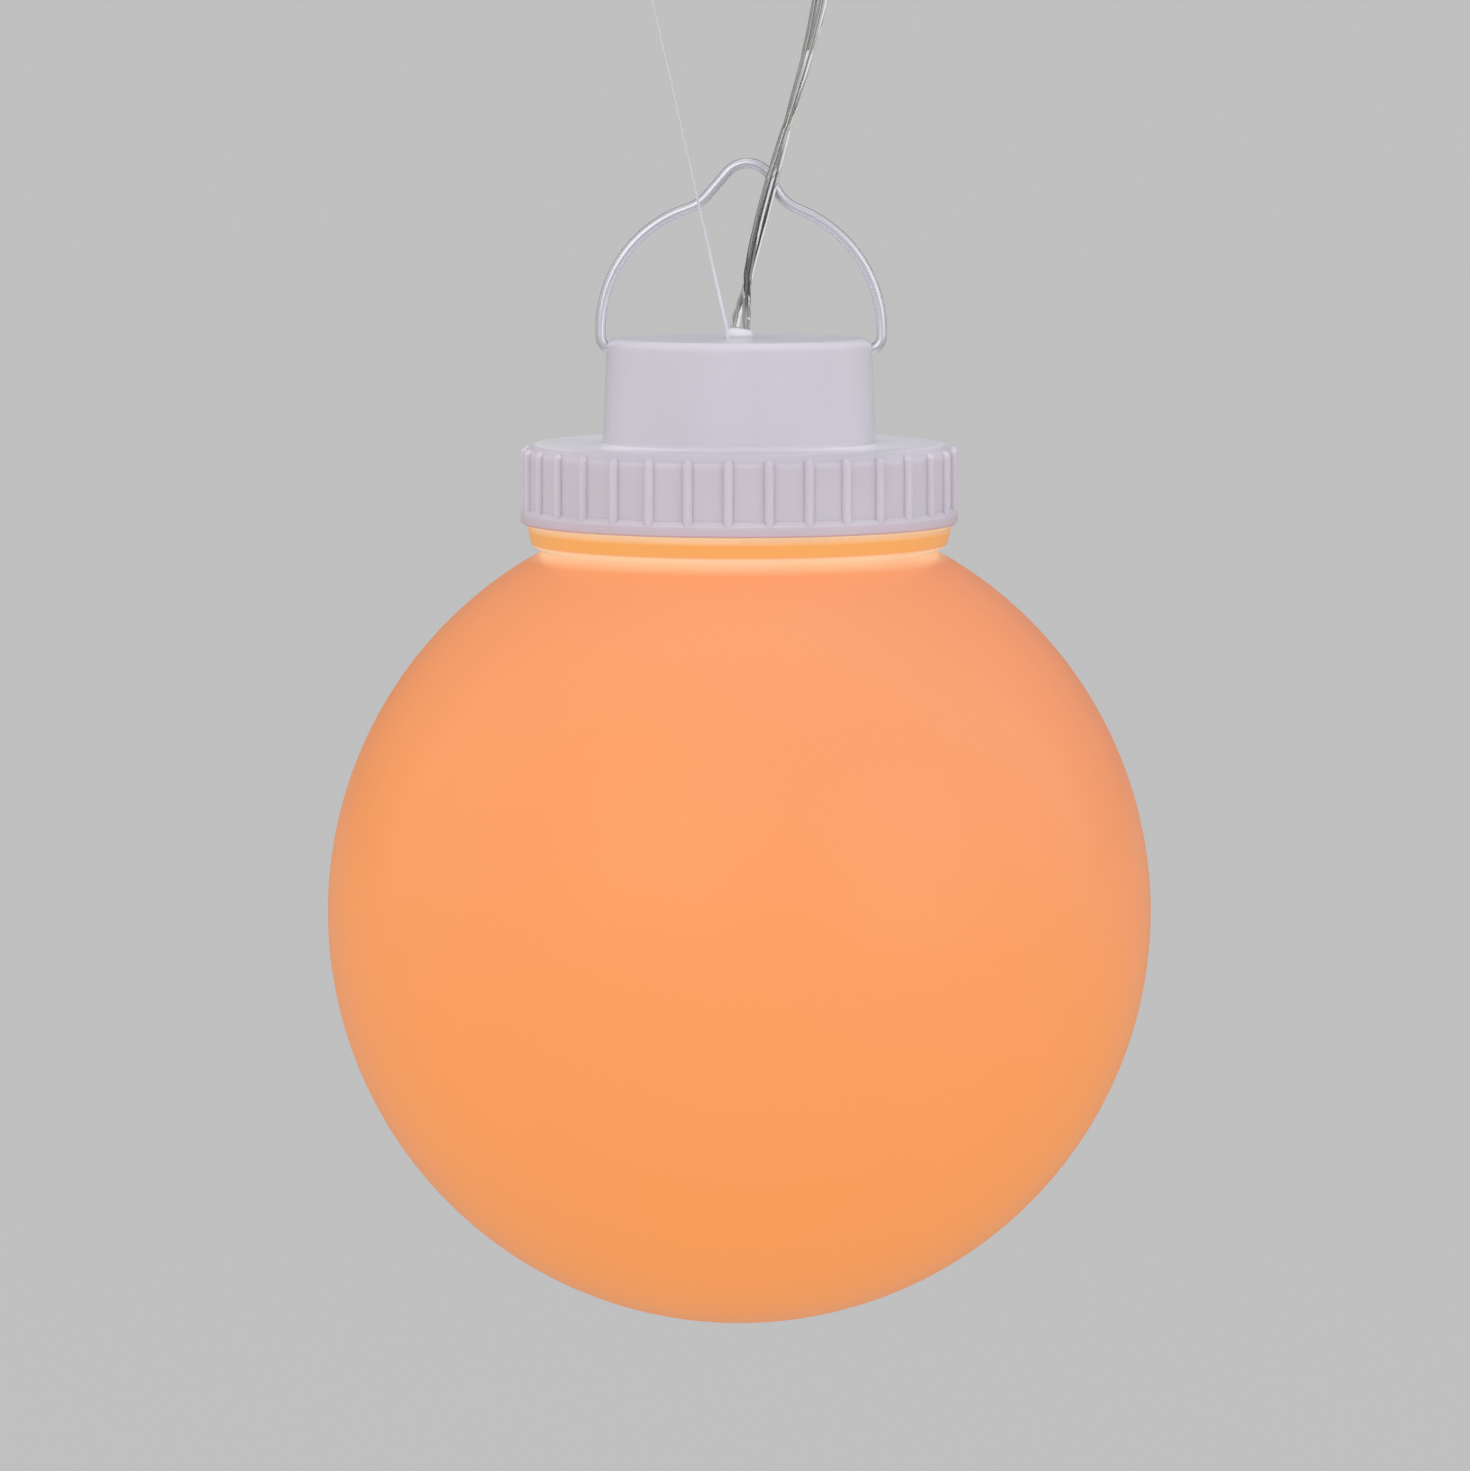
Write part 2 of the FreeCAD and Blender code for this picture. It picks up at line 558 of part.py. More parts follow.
def round_section(centre, radius):
    return Part.Wire([Part.makeCircle(radius, centre, FreeCAD.Vector(0, 0, 1))])


# The globe: a thin blown shell with a rounded bead and a plain neck that carries the screw thread
upright("globe", "0", [
    ("0", "centre_level - globe_radius"), ("waist_radius", "waist_level"),
    ("waist_radius", "waist_level + waist_rise"),
    ("bead_radius - bead_taper - bead_round", "waist_level + waist_rise"),
    ("bead_radius - bead_taper", "waist_level + waist_rise + bead_round"),
    ("bead_radius", "bead_top_level - bead_edge"), ("bead_radius - bead_edge", "bead_top_level"),
    ("neck_radius", "bead_top_level"), ("neck_radius", "lip_level"), ("neck_bore", "lip_level"),
    ("neck_bore", "hollow_level"), ("0", "centre_level - hollow_radius")],
    bends={0: ("globe_radius", 1), 3: ("bead_round", 1), 5: ("bead_edge", 1), 10: ("hollow_radius", -1)})

# The cap: turret, flat shoulder and skirt in one moulding
cap, cap_turned = upright("cap", "0", [
    ("skirt_bore", "ring_base_level"), ("band_radius - band_edge", "ring_base_level"),
    ("band_radius", "ring_base_level + band_edge"), ("band_radius", "ring_base_level + band_height"),
    ("grip_radius", "ring_base_level + band_height + rib_radius"),
    ("grip_radius", "ring_plane_level - shoulder_round"),
    ("grip_radius - shoulder_round", "ring_plane_level"),
    ("turret_base_radius + turret_root_round", "ring_plane_level"),
    ("turret_base_radius", "ring_plane_level + turret_root_round"),
    ("turret_top_radius", "turret_top_level - turret_top_round"),
    ("turret_top_radius - turret_top_round", "turret_top_level"), ("0", "turret_top_level"),
    ("0", "roof_level"), ("turret_top_radius - turret_wall", "roof_level"),
    ("turret_base_radius - turret_wall", "ring_plane_level"),
    ("turret_base_radius - turret_wall", "shoulder_level"), ("skirt_bore", "shoulder_level")],
    bends={5: ("shoulder_round", 1), 7: ("turret_root_round", -1), 9: ("turret_top_round", 1)})

# Its grip ribs: half-round bars with domed tops, from the plain band up to the shoulder
rib_outline = new_sketch(cap, "rib_outline", "YZ_Plane", turn="rib_turn")
rib_axis = spin_axis(rib_outline, "-grip_radius")
outline(rib_outline, [
    ("-grip_radius", "ring_base_level + band_height"),
    ("-grip_radius - rib_radius", "ring_base_level + band_height"),
    ("-grip_radius - rib_radius", "rib_dome_level"), ("-grip_radius", "rib_top_level")],
    {2: ("rib_radius", -1)})
rib = revolve(cap, "rib", rib_outline, rib_axis)
ring_of(cap, "ribs", [rib], "rib_count")

# Bail bosses inside the turret's wall, with the bores that the bail's ends turn in. The wall's own holes are
# wider, because the bends at the feet of the arms start inside them.
boss_outline = new_sketch(cap, "boss_outline", "XY_Plane", lift="pivot_level - boss_drop")
rectangle(boss_outline, "boss_inner", "boss_outer", "-boss_half", "boss_half")
boss = pad(cap, "boss", boss_outline, "roof_level - pivot_level + boss_drop")
pair_of(cap, "bosses", [boss])
bore_outline = new_sketch(cap, "bore_outline", "YZ_Plane", lift="boss_inner")
circle(bore_outline, "0", "pivot_level", "bore_radius")
bore = pocket(cap, "bore", bore_outline, "boss_outer - boss_inner", up=True)
wall_hole_outline = new_sketch(cap, "wall_hole_outline", "YZ_Plane", lift="boss_outer")
circle(wall_hole_outline, "0", "pivot_level", "wire_radius + wall_hole_gap")
wall_hole = pocket(cap, "wall_hole", wall_hole_outline, "turret_base_radius - boss_outer + wire_radius",
                   up=True)
pair_of(cap, "bores", [bore, wall_hole])

# Posts for the cover screws, the gland's hole and the thread's hole
post = disc(cap, "post", "shoulder_level", [("0", "post_ring", "post_radius")], "roof_level - shoulder_level")
ring_of(cap, "posts", [post], "post_count")
pilot = drill(cap, "pilot", "shoulder_level", [("0", "post_ring", "screw_radius + screw_play")],
              "screw_grip + flange_thick", up=True)
ring_of(cap, "pilots", [pilot], "post_count")
drill(cap, "roof_holes", "turret_top_level",
      [("0", "0", "gland_hole"), ("thread_across_0", "thread_forward_0", "thread_hole")], "roof_thick")

# The bail: one coated wire from bore to bore over the crest
bail = new_body("wire_bail")
way = new_sketch(bail, "bail_way", "XZ_Plane")
outline(way, [
    ("wire_end", "pivot_level"), ("arm_right - wire_bend", "pivot_level"),
    ("arm_right", "pivot_level + wire_bend"), ("arm_right", "right_arm_z"),
    ("right_throat_x", "right_throat_z"), ("right_leg_x", "right_leg_z"), ("right_crest_x", "right_crest_z"),
    ("left_crest_x", "left_crest_z"), ("left_leg_x", "left_leg_z"), ("left_throat_x", "left_throat_z"),
    ("-arm_left", "left_arm_z"), ("-arm_left", "pivot_level + wire_bend"),
    ("-arm_left + wire_bend", "pivot_level"), ("-wire_end", "pivot_level")],
    {1: ("wire_bend", 1), 3: ("right_sweep", 1), 4: ("throat_round", -1), 6: ("crest_round", 1),
     8: ("throat_round", -1), 9: ("left_sweep", 1), 11: ("wire_bend", 1)}, closed=False)
wire_section = new_sketch(bail, "wire_section", "YZ_Plane", lift="wire_end")
circle(wire_section, "0", "pivot_level", "wire_radius")
doc.recompute()
bent = bail.newObject("PartDesign::AdditivePipe", "bent_wire")
bent.Profile = wire_section
bent.Spine = (way, [])
doc.recompute()

# The neck gasket rides on the globe's rim; the carrier closes the turret against its own seal
upright("neck_gasket", "0", [("gasket_inner", "lip_level"), ("gasket_outer", "lip_level"),
                             ("gasket_outer", "shoulder_level"), ("gasket_inner", "shoulder_level")])
carrier = new_body("lamp_carrier")
disc(carrier, "carrier_disc", "carrier_level", [("0", "0", "carrier_radius"), ("0", "0", "carrier_bore")],
     "carrier_thick")
groove_outline = new_sketch(carrier, "groove_outline", "XZ_Plane")
rectangle(groove_outline, "oring_radius - oring_cord - oring_play", "oring_radius + oring_cord + oring_play",
          "shoulder_level - 2*oring_cord", "shoulder_level")
revolve(carrier, "seal_groove", groove_outline, cut=True)
passage = drill(carrier, "passage", "shoulder_level", [("0", "post_ring", "screw_radius + screw_pass")],
                "carrier_thick")
ring_of(carrier, "passages", [passage], "post_count")
drill(carrier, "board_pilots", "carrier_level",
      [("0", "board_screw_ring", "board_screw_radius + screw_play"),
       ("0", "-board_screw_ring", "board_screw_radius + screw_play")], "board_screw_grip", up=True)
seal = doc.addObject("Part::Torus", "carrier_oring")
seal.setExpression("Radius1", "Sizes.oring_radius")
seal.setExpression("Radius2", "Sizes.oring_cord")
seal.setExpression("Placement.Base.z", "Sizes.shoulder_level - Sizes.oring_cord")

# The clear light cover: a flange under the carrier and a domed cup over the board
cover, cover_turned = upright("light_cover", "0", [
    ("cup_radius", "carrier_level"), ("cover_flange", "carrier_level"), ("cover_flange", "flange_level"),
    ("cover_radius", "flange_level"), ("cover_radius", "cup_level"), ("0", "cup_level - cover_sag"),
    ("0", "cup_level - cover_sag + cover_wall"), ("cup_radius", "cup_level")],
    bends={4: ("dome_radius", -1), 6: ("dome_hollow", 1)})
hole = drill(cover, "flange_hole", "carrier_level", [("0", "post_ring", "screw_radius + screw_pass")],
             "flange_thick")
ring_of(cover, "flange_holes", [hole], "post_count")


def screws(name, ring, radius, head_radius, head, seat, tip):
    """A screw about an upright line, head down: its seat faces up and its point is at the top."""
    return upright(name, ring, [
        (ring, seat + " - " + head), (ring + " + " + radius, seat + " - " + head),
        (ring + " + " + head_radius, seat + " - 0.5*" + head), (ring + " + " + head_radius, seat),
        (ring + " + " + radius, seat), (ring + " + " + radius, tip), (ring, tip + " + 0.5*" + radius)],
        plane="YZ_Plane")


fastener, turned = screws("cover_screws", "post_ring", "screw_radius", "screw_head_radius", "screw_head",
                          "flange_level", "shoulder_level + screw_grip")
fastener.AllowCompound = True
ring_of(fastener, "cover_screw_ring", [turned], "post_count")

# The board under the carrier, its two screws and what is soldered to it
board = new_body("led_board")
disc(board, "board_disc", "board_level", [
    ("0", "0", "board_radius"), ("0", "board_screw_ring", "board_screw_radius + screw_pass"),
    ("0", "-board_screw_ring", "board_screw_radius + screw_pass")], "board_thick")
fastener, turned = screws("board_screws", "board_screw_ring", "board_screw_radius", "board_screw_head_radius",
                          "board_screw_head", "board_level", "carrier_level + 0.6*board_screw_grip")
fastener.AllowCompound = True
pair_of(fastener, "board_screw_pair", [turned])

leds = new_body("led_chips")
leds.AllowCompound = True
led_outline = new_sketch(leds, "led_outline", "XY_Plane", lift="board_level")
rectangle(led_outline, "led_ring - led_half", "led_ring + led_half", "-led_half", "led_half")
led = pad(leds, "led", led_outline, "led_thick", down=True)
spot = [("led_ring", "0", "window_radius + window_play")]
recess = drill(leds, "recess", "led_level", spot, "window_depth", up=True)
ring_of(leds, "led_circle", [led, recess], "led_count")
windows = new_body("led_windows")
windows.AllowCompound = True
window = disc(windows, "window", "led_level + window_depth", [("led_ring", "0", "window_radius")],
              "window_depth + window_proud", down=True)
ring_of(windows, "window_circle", [window], "led_count")

chip = new_body("control_chip")
chip_outline = new_sketch(chip, "chip_outline", "XY_Plane", lift="board_level")
rectangle(chip_outline, "-chip_half_long", "chip_half_long", "-chip_half_wide", "chip_half_wide")
pad(chip, "chip_block", chip_outline, "chip_thick", down=True)
resistors = new_body("resistors")
resistors.AllowCompound = True
resistor_outline = new_sketch(resistors, "resistor_outline", "XY_Plane", lift="board_level")
rectangle(resistor_outline, "-resistor_half_long", "resistor_half_long",
          "resistor_offset - resistor_half_wide", "resistor_offset + resistor_half_wide")
resistor = pad(resistors, "resistor", resistor_outline, "resistor_thick", down=True)
pair_of(resistors, "resistor_pair", [resistor])
joints, turned = upright("solder_joints", "solder_offset", [
    ("solder_offset", "carrier_level"), ("solder_offset + solder_radius", "carrier_level"),
    ("solder_offset + solder_tip", "carrier_level + solder_height"),
    ("solder_offset", "carrier_level + solder_height")])
joints.AllowCompound = True
pair_of(joints, "joint_pair", [turned])

# The cable's gland in the roof and the clip that keeps the cable from pulling out
gland, gland_turned = upright("cable_gland", "0", [
    ("0", "gland_flange_level"), ("gland_flange", "gland_flange_level"), ("gland_flange", "roof_level"),
    ("gland_waist", "roof_level"), ("gland_waist", "turret_top_level"), ("gland_radius", "turret_top_level"),
    ("gland_top_radius", "turret_top_level + gland_height"), ("0", "turret_top_level + gland_height")],
    bends={5: ("gland_round", 1)})
gland_slot = new_sketch(gland, "gland_slot", "XY_Plane", lift="turret_top_level + gland_height")
slot(gland_slot, "core_radius + slot_play")
pocket(gland, "gland_passage", gland_slot, "gland_height + roof_thick + gland_flange_thick")
clip = new_body("strain_clip")
disc(clip, "clip_disc", "clip_level", [("0", "0", "clip_radius")], "clip_height")
clip_slot = new_sketch(clip, "clip_slot", "XY_Plane", lift="gland_flange_level")
slot(clip_slot, "core_radius + slot_play")
pocket(clip, "clip_passage", clip_slot, "clip_height")

# The twin cable, its two leads inside the turret and the hanging thread
route = route_points("cable")
core = size("core_radius")
aside = FreeCAD.Vector(size("core_offset"), 0, 0)
lift = FreeCAD.Vector(0, core, 0)
foot = route[0]
tube("cable", route, Part.Wire([
    Part.makeLine(foot - aside - lift, foot + aside - lift),
    Part.Arc(foot + aside - lift, foot + aside + FreeCAD.Vector(core, 0, 0), foot + aside + lift).toShape(),
    Part.makeLine(foot + aside + lift, foot - aside + lift),
    Part.Arc(foot - aside + lift, foot - aside - FreeCAD.Vector(core, 0, 0), foot - aside - lift).toShape()]))
for name, side in (("lead_positive", 1), ("lead_negative", -1)):
    near, far = side * size("core_offset"), side * size("solder_offset")
    levels = [size("split_level"), size("split_level") - size("lead_radius") * 2, size("lead_spread_level"),
              size("carrier_level") + size("solder_height")]
    points = [FreeCAD.Vector(x, 0, level) for x, level in zip((near, near, far, far), levels)]
    tube(name, points, round_section(points[0], size("lead_radius")))
thread = route_points("thread")
tube("hanging_thread", thread, round_section(thread[0], size("thread_radius")))
stop_ball = doc.addObject("Part::Sphere", "stop_ball")
stop_ball.setExpression("Radius", "Sizes.stop_radius")
stop_bore = doc.addObject("Part::Cylinder", "stop_bore")
stop_bore.setExpression("Radius", "Sizes.thread_radius + Sizes.knot_play")
stop_bore.setExpression("Height", "2 * Sizes.stop_radius")
for feature, drop in ((stop_ball, ""), (stop_bore, " - Sizes.stop_radius")):
    feature.setExpression("Placement.Base.x", "Sizes.thread_across_0")
    feature.setExpression("Placement.Base.y", "Sizes.thread_forward_0")
    feature.setExpression("Placement.Base.z", "Sizes.stop_level" + drop)
stop = doc.addObject("Part::Cut", "thread_stop")
stop.Base = stop_ball
stop.Tool = stop_bore
loop = doc.addObject("Part::Torus", "loop_ring")
loop.setExpression("Radius1", "Sizes.loop_radius")
loop.setExpression("Radius2", "Sizes.thread_radius")
loop.Placement.Rotation = FreeCAD.Rotation(-90, 0, 90)
knot = doc.addObject("Part::Sphere", "loop_knot")
knot.setExpression("Radius", "Sizes.knot_radius")
knot.Placement.Rotation = FreeCAD.Rotation(FreeCAD.Vector(1, 0, 0), 90)
for feature, above in ((loop, " + Sizes.loop_radius + 0.5 * Sizes.knot_radius"), (knot, "")):
    feature.setExpression("Placement.Base.x", "Sizes.thread_across_2")
    feature.setExpression("Placement.Base.y", "Sizes.thread_forward_2")
    feature.setExpression("Placement.Base.z", "Sizes.knot_level" + above)
thread_loop = doc.addObject("Part::MultiFuse", "thread_loop")
thread_loop.Shapes = [loop, knot]

# The ceiling fitting that holds the cable: a socket under a flange with two fixing holes
fitting = new_body("ceiling_fitting")
mouth = "cable_top_level - fitting_bore_depth"
spot = ("cable_across_4", "cable_forward_4")
disc(fitting, "fitting_block", mouth, [spot + ("fitting_radius",)], "fitting_body")
disc(fitting, "fitting_plate", mouth + " + fitting_body", [spot + ("fitting_flange",)],
     "fitting_flange_thick")
socket = new_sketch(fitting, "socket_outline", "XY_Plane", lift=mouth)
circle(socket, "cable_across_4", "cable_forward_4", "core_offset + core_radius + slot_play")
pocket(fitting, "socket", socket, "fitting_bore_depth", up=True)
drill(fitting, "fixing_holes", mouth + " + fitting_body + fitting_flange_thick", [
    ("cable_across_4 + fitting_hole_offset", "cable_forward_4", "fitting_hole_radius"),
    ("cable_across_4 - fitting_hole_offset", "cable_forward_4", "fitting_hole_radius")],
    "fitting_flange_thick")
doc.recompute()

NODES = ["globe", "cap", "wire_bail", "neck_gasket", "lamp_carrier", "carrier_oring", "light_cover",
         "cover_screws", "led_board", "board_screws", "led_chips", "led_windows", "control_chip", "resistors",
         "solder_joints", "cable_gland", "strain_clip", "lead_positive", "lead_negative", "cable",
         "ceiling_fitting", "hanging_thread", "thread_stop", "thread_loop"]

for feature in doc.Objects:
    if "Invalid" in feature.State or "Error" in feature.State:
        raise RuntimeError(feature.Name + " failed")
os.makedirs("parts", exist_ok=True)
for node in NODES:
    feature = doc.getObject(node)
    feature.Label = node
    if feature.Shape.isNull() or not feature.Shape.isValid():
        raise RuntimeError(node + " has no sound shape")
    box = feature.Shape.BoundBox
    print("%-16s solids %d  volume %10.2f  x %7.2f %7.2f  y %7.2f %7.2f  z %8.2f %8.2f" % (
        node, len(feature.Shape.Solids), feature.Shape.Volume, box.XMin, box.XMax, box.YMin, box.YMax,
        box.ZMin, box.ZMax))
    feature.Shape.exportStep("parts/" + node + ".step")
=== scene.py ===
import math

import bmesh
import bpy
from mathutils import Matrix, Vector


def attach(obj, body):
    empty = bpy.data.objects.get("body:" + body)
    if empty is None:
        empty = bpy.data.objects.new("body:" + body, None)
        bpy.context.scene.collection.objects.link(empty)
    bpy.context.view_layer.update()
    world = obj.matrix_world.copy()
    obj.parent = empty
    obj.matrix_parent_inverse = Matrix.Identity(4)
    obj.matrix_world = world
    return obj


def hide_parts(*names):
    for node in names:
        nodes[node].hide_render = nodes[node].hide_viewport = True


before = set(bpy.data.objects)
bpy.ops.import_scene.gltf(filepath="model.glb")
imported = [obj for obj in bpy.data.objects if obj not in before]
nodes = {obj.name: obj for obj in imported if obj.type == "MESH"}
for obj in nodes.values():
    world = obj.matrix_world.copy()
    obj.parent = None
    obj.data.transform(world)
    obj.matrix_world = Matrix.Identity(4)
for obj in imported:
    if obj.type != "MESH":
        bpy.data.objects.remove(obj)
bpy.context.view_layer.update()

# Levels of the frame in metres, and the sizes that the pieces below share with the solids
GLOBE_CENTRE = -0.134655
GLOBE_RADIUS = 0.075
BEAD_TOP = -0.063855
BOARD = -0.054655
RING_TOP = -0.049155
ROOF = -0.030255
NECK_RADIUS = 0.0341
SKIRT_BORE = 0.0371

# ---------------------------------------------------------------- camera
# found from the arcs of cap and bead and from the globe's outline in the photograph
scene = bpy.context.scene
scene.view_settings.view_transform = "Standard"
camera = bpy.data.objects.new("camera", bpy.data.cameras.new("camera"))
scene.collection.objects.link(camera)
scene.camera = camera
camera.data.sensor_fit = "HORIZONTAL"
camera.data.sensor_width = 36
camera.data.lens = 135.24
camera.location = (-0.000785, -0.99927, 0.00924)
camera.rotation_euler = (math.radians(83.62), 0, 0)


# ---------------------------------------------------------------- helpers: materials
def add_node(tree, kind, inputs=(), **settings):
    """A node with its settings, and the values of its sockets by name or number."""
    made = tree.nodes.new(kind)
    for key, value in settings.items():
        setattr(made, key, value)
    for socket, value in dict(inputs).items():
        made.inputs[socket].default_value = value
    return made


def add_maths(tree, kind, first, second):
    """A maths node on two values, each of them a number or a socket."""
    made = add_node(tree, "ShaderNodeMath", operation=kind)
    for socket, value in zip(made.inputs, (first, second)):
        if isinstance(value, (int, float)):
            socket.default_value = value
        else:
            tree.links.new(value, socket)
    return made.outputs["Value"]


def span(level, low, high):
    """Two heights that are given from a level."""
    return level + low, level + high


class Finish:
    """A node material round one Principled shader."""

    def __init__(self, name, colour, roughness, **sockets):
        """The sockets' names have _ for each space."""
        self.material = bpy.data.materials.new(name)
        self.material.use_nodes = True
        self.tree = self.material.node_tree
        self.shader = next(n for n in self.tree.nodes if n.type == "BSDF_PRINCIPLED")
        self.shader.inputs["Base Color"].default_value = (*colour, 1)
        self.shader.inputs["Roughness"].default_value = roughness
        for socket, value in sockets.items():
            self.shader.inputs[socket.replace("_", " ")].default_value = value
        self.height = None
        self.place = add_node(self.tree, "ShaderNodeTexCoord").outputs["Object"]

    def link(self, source, target):
        self.tree.links.new(source, target)

    def stretch(self, scale):
        """The place in the object with each axis scaled."""
        mapping = add_node(self.tree, "ShaderNodeMapping", {"Scale": scale})
        self.link(self.place, mapping.inputs["Vector"])
        return mapping.outputs["Vector"]

    def axes(self):
        """The place in the frame as X, Y and Z."""
        split = add_node(self.tree, "ShaderNodeSeparateXYZ")
        self.link(self.place, split.inputs[0])
        return split.outputs["X"], split.outputs["Y"], split.outputs["Z"]

    def noise(self, scale, detail=4.0, roughness=0.55, place=None):
        values = {"Scale": scale, "Detail": detail, "Roughness": roughness}
        made = add_node(self.tree, "ShaderNodeTexNoise", values)
        self.link(place or self.place, made.inputs["Vector"])
        return made.outputs["Fac"]

    def spread(self, source, low, high, to_low=0.0, to_high=1.0, kind="LINEAR"):
        """A range of values mapped to another one, and held at its ends."""
        values = {"From Min": low, "From Max": high, "To Min": to_low, "To Max": to_high}
        made = add_node(self.tree, "ShaderNodeMapRange", values, interpolation_type=kind)
        self.link(source, made.inputs["Value"])
        return made.outputs["Result"]

    def ease(self, source, low, high, to_low=0.0, to_high=1.0):
        """The same with a soft start and end."""
        return self.spread(source, low, high, to_low, to_high, "SMOOTHSTEP")

    def band(self, source, rise, fall, peak=1.0):
        """Up to the peak over one span of values, and down to 0 over another."""
        return self.maths("MULTIPLY", self.ease(source, *rise),
                          self.ease(source, *fall, peak, 0.0))

    def maths(self, kind, first, second):
        return add_maths(self.tree, kind, first, second)

    def mix(self, share, first, second):
        """A mix of two colours, each of them a tuple or a socket."""
        made = add_node(self.tree, "ShaderNodeMix", data_type="RGBA")
        sockets = {s.name: s for s in made.inputs if s.enabled and s.type == "RGBA"}
        self.link(share, made.inputs[0])
        for key, value in (("A", first), ("B", second)):
            if isinstance(value, tuple):
                sockets[key].default_value = (*value, 1)
            else:
                self.link(value, sockets[key])
        return next(s for s in made.outputs if s.enabled and s.type == "RGBA")

    def colour(self, source):
        self.link(source, self.shader.inputs["Base Color"])

    def rough(self, source):
        self.link(source, self.shader.inputs["Roughness"])

    def glow(self, source, strength):
        self.link(source, self.shader.inputs["Emission Color"])
        self.shader.inputs["Emission Strength"].default_value = strength

    def mottle(self, noise, first, second, low=0.35, high=0.65):
        """A colour that drifts between two of them."""
        self.colour(self.mix(self.spread(noise, low, high), first, second))

    def uneven(self, noise, low, high):
        """A roughness that drifts between two values."""
        self.rough(self.spread(noise, 0.3, 0.7, low, high))

    def bump(self, source, distance, strength=0.5):
        made = add_node(self.tree, "ShaderNodeBump", {"Strength": strength, "Distance": distance})
        self.link(source, made.inputs["Height"])
        if self.height is not None:
            self.link(self.height, made.inputs["Normal"])
        self.height = made.outputs["Normal"]
        self.link(self.height, self.shader.inputs["Normal"])


def plain_plastic(name, colour, shade, roughness, grain=900.0):
    """Moulded plastic: faint mottling, uneven gloss and a fine grain."""
    made = Finish(name, colour, roughness)
    made.mottle(made.noise(45), colour, shade)
    made.uneven(made.noise(120), roughness - 0.06, roughness + 0.08)
    made.bump(made.noise(grain, 2), 0.00004, 0.25)
    return made


def metal(name, colour, stretch=(1.0, 1.0, 1.0), roughness=0.3):
    """Metal with fine drawn lines along one axis."""
    made = Finish(name, colour, roughness, Metallic=1.0)
    lines = made.noise(900, 3, place=made.stretch(stretch))
    made.mottle(lines, colour, tuple(0.72 * c for c in colour), 0.3, 0.7)
    made.uneven(lines, roughness - 0.02, roughness + 0.12)
    made.bump(lines, 0.00003, 0.3)
    return made


# ---------------------------------------------------------------- materials
def globe_finish():
    """Blown orange plastic that glows from within, pinker above and to the right."""
    made = Finish("globe_plastic", (0.25, 0.09, 0.05), 0.55, Specular_IOR_Level=0.08,
                  Coat_Weight=0.8, Coat_Roughness=0.28, Coat_IOR=1.3)
    x, _, z = made.axes()
    height = made.spread(z, *span(GLOBE_CENTRE, -GLOBE_RADIUS, 0.066))
    right = made.spread(x, -0.06, 0.075)
    pink = made.maths("MULTIPLY", made.ease(height, 0.15, 0.95),
                      made.spread(right, 0.0, 0.7, 0.45, 1.0))
    cloud = made.spread(made.noise(9, 2, 0.4), 0.35, 0.65, -0.12, 0.12)
    pink = made.maths("ADD", made.maths("MULTIPLY", pink, 0.8), cloud)
    made.colour(made.mix(pink, (0.25, 0.09, 0.03), (0.25, 0.085, 0.045)))
    glow = made.mix(pink, (0.745, 0.263, 0.067), (0.672, 0.254, 0.136))
    # the bead between painted highlights: a pale line along its upper edge, and the waist under
    # it painted pale where it catches the light
    bead = made.band(z, span(GLOBE_CENTRE, 0.0673, 0.0677), span(GLOBE_CENTRE, 0.0698, 0.0707))
    glow = made.mix(bead, glow, (0.71, 0.335, 0.08))
    waist = made.maths("MULTIPLY", made.spread(z, *span(GLOBE_CENTRE, 0.0643, 0.0665)),
                       made.ease(z, *span(GLOBE_CENTRE, 0.0671, 0.0676), 1.0, 0.0))
    edge = made.spread(z, *span(GLOBE_CENTRE, 0.0695, 0.0707))
    painted_highlight = made.maths("MULTIPLY", made.maths("MAXIMUM", waist, edge),
                      made.spread(made.noise(60, 2), 0.3, 0.7, 0.85, 1.0))
    made.glow(made.mix(painted_highlight, glow, (0.77, 0.57, 0.34)), 1.0)
    made.uneven(made.noise(70, 3), 0.5, 0.62)
    made.bump(made.noise(38, 3), 0.00018, 0.3)
    made.bump(made.noise(1300, 2), 0.00003, 0.25)
    return made


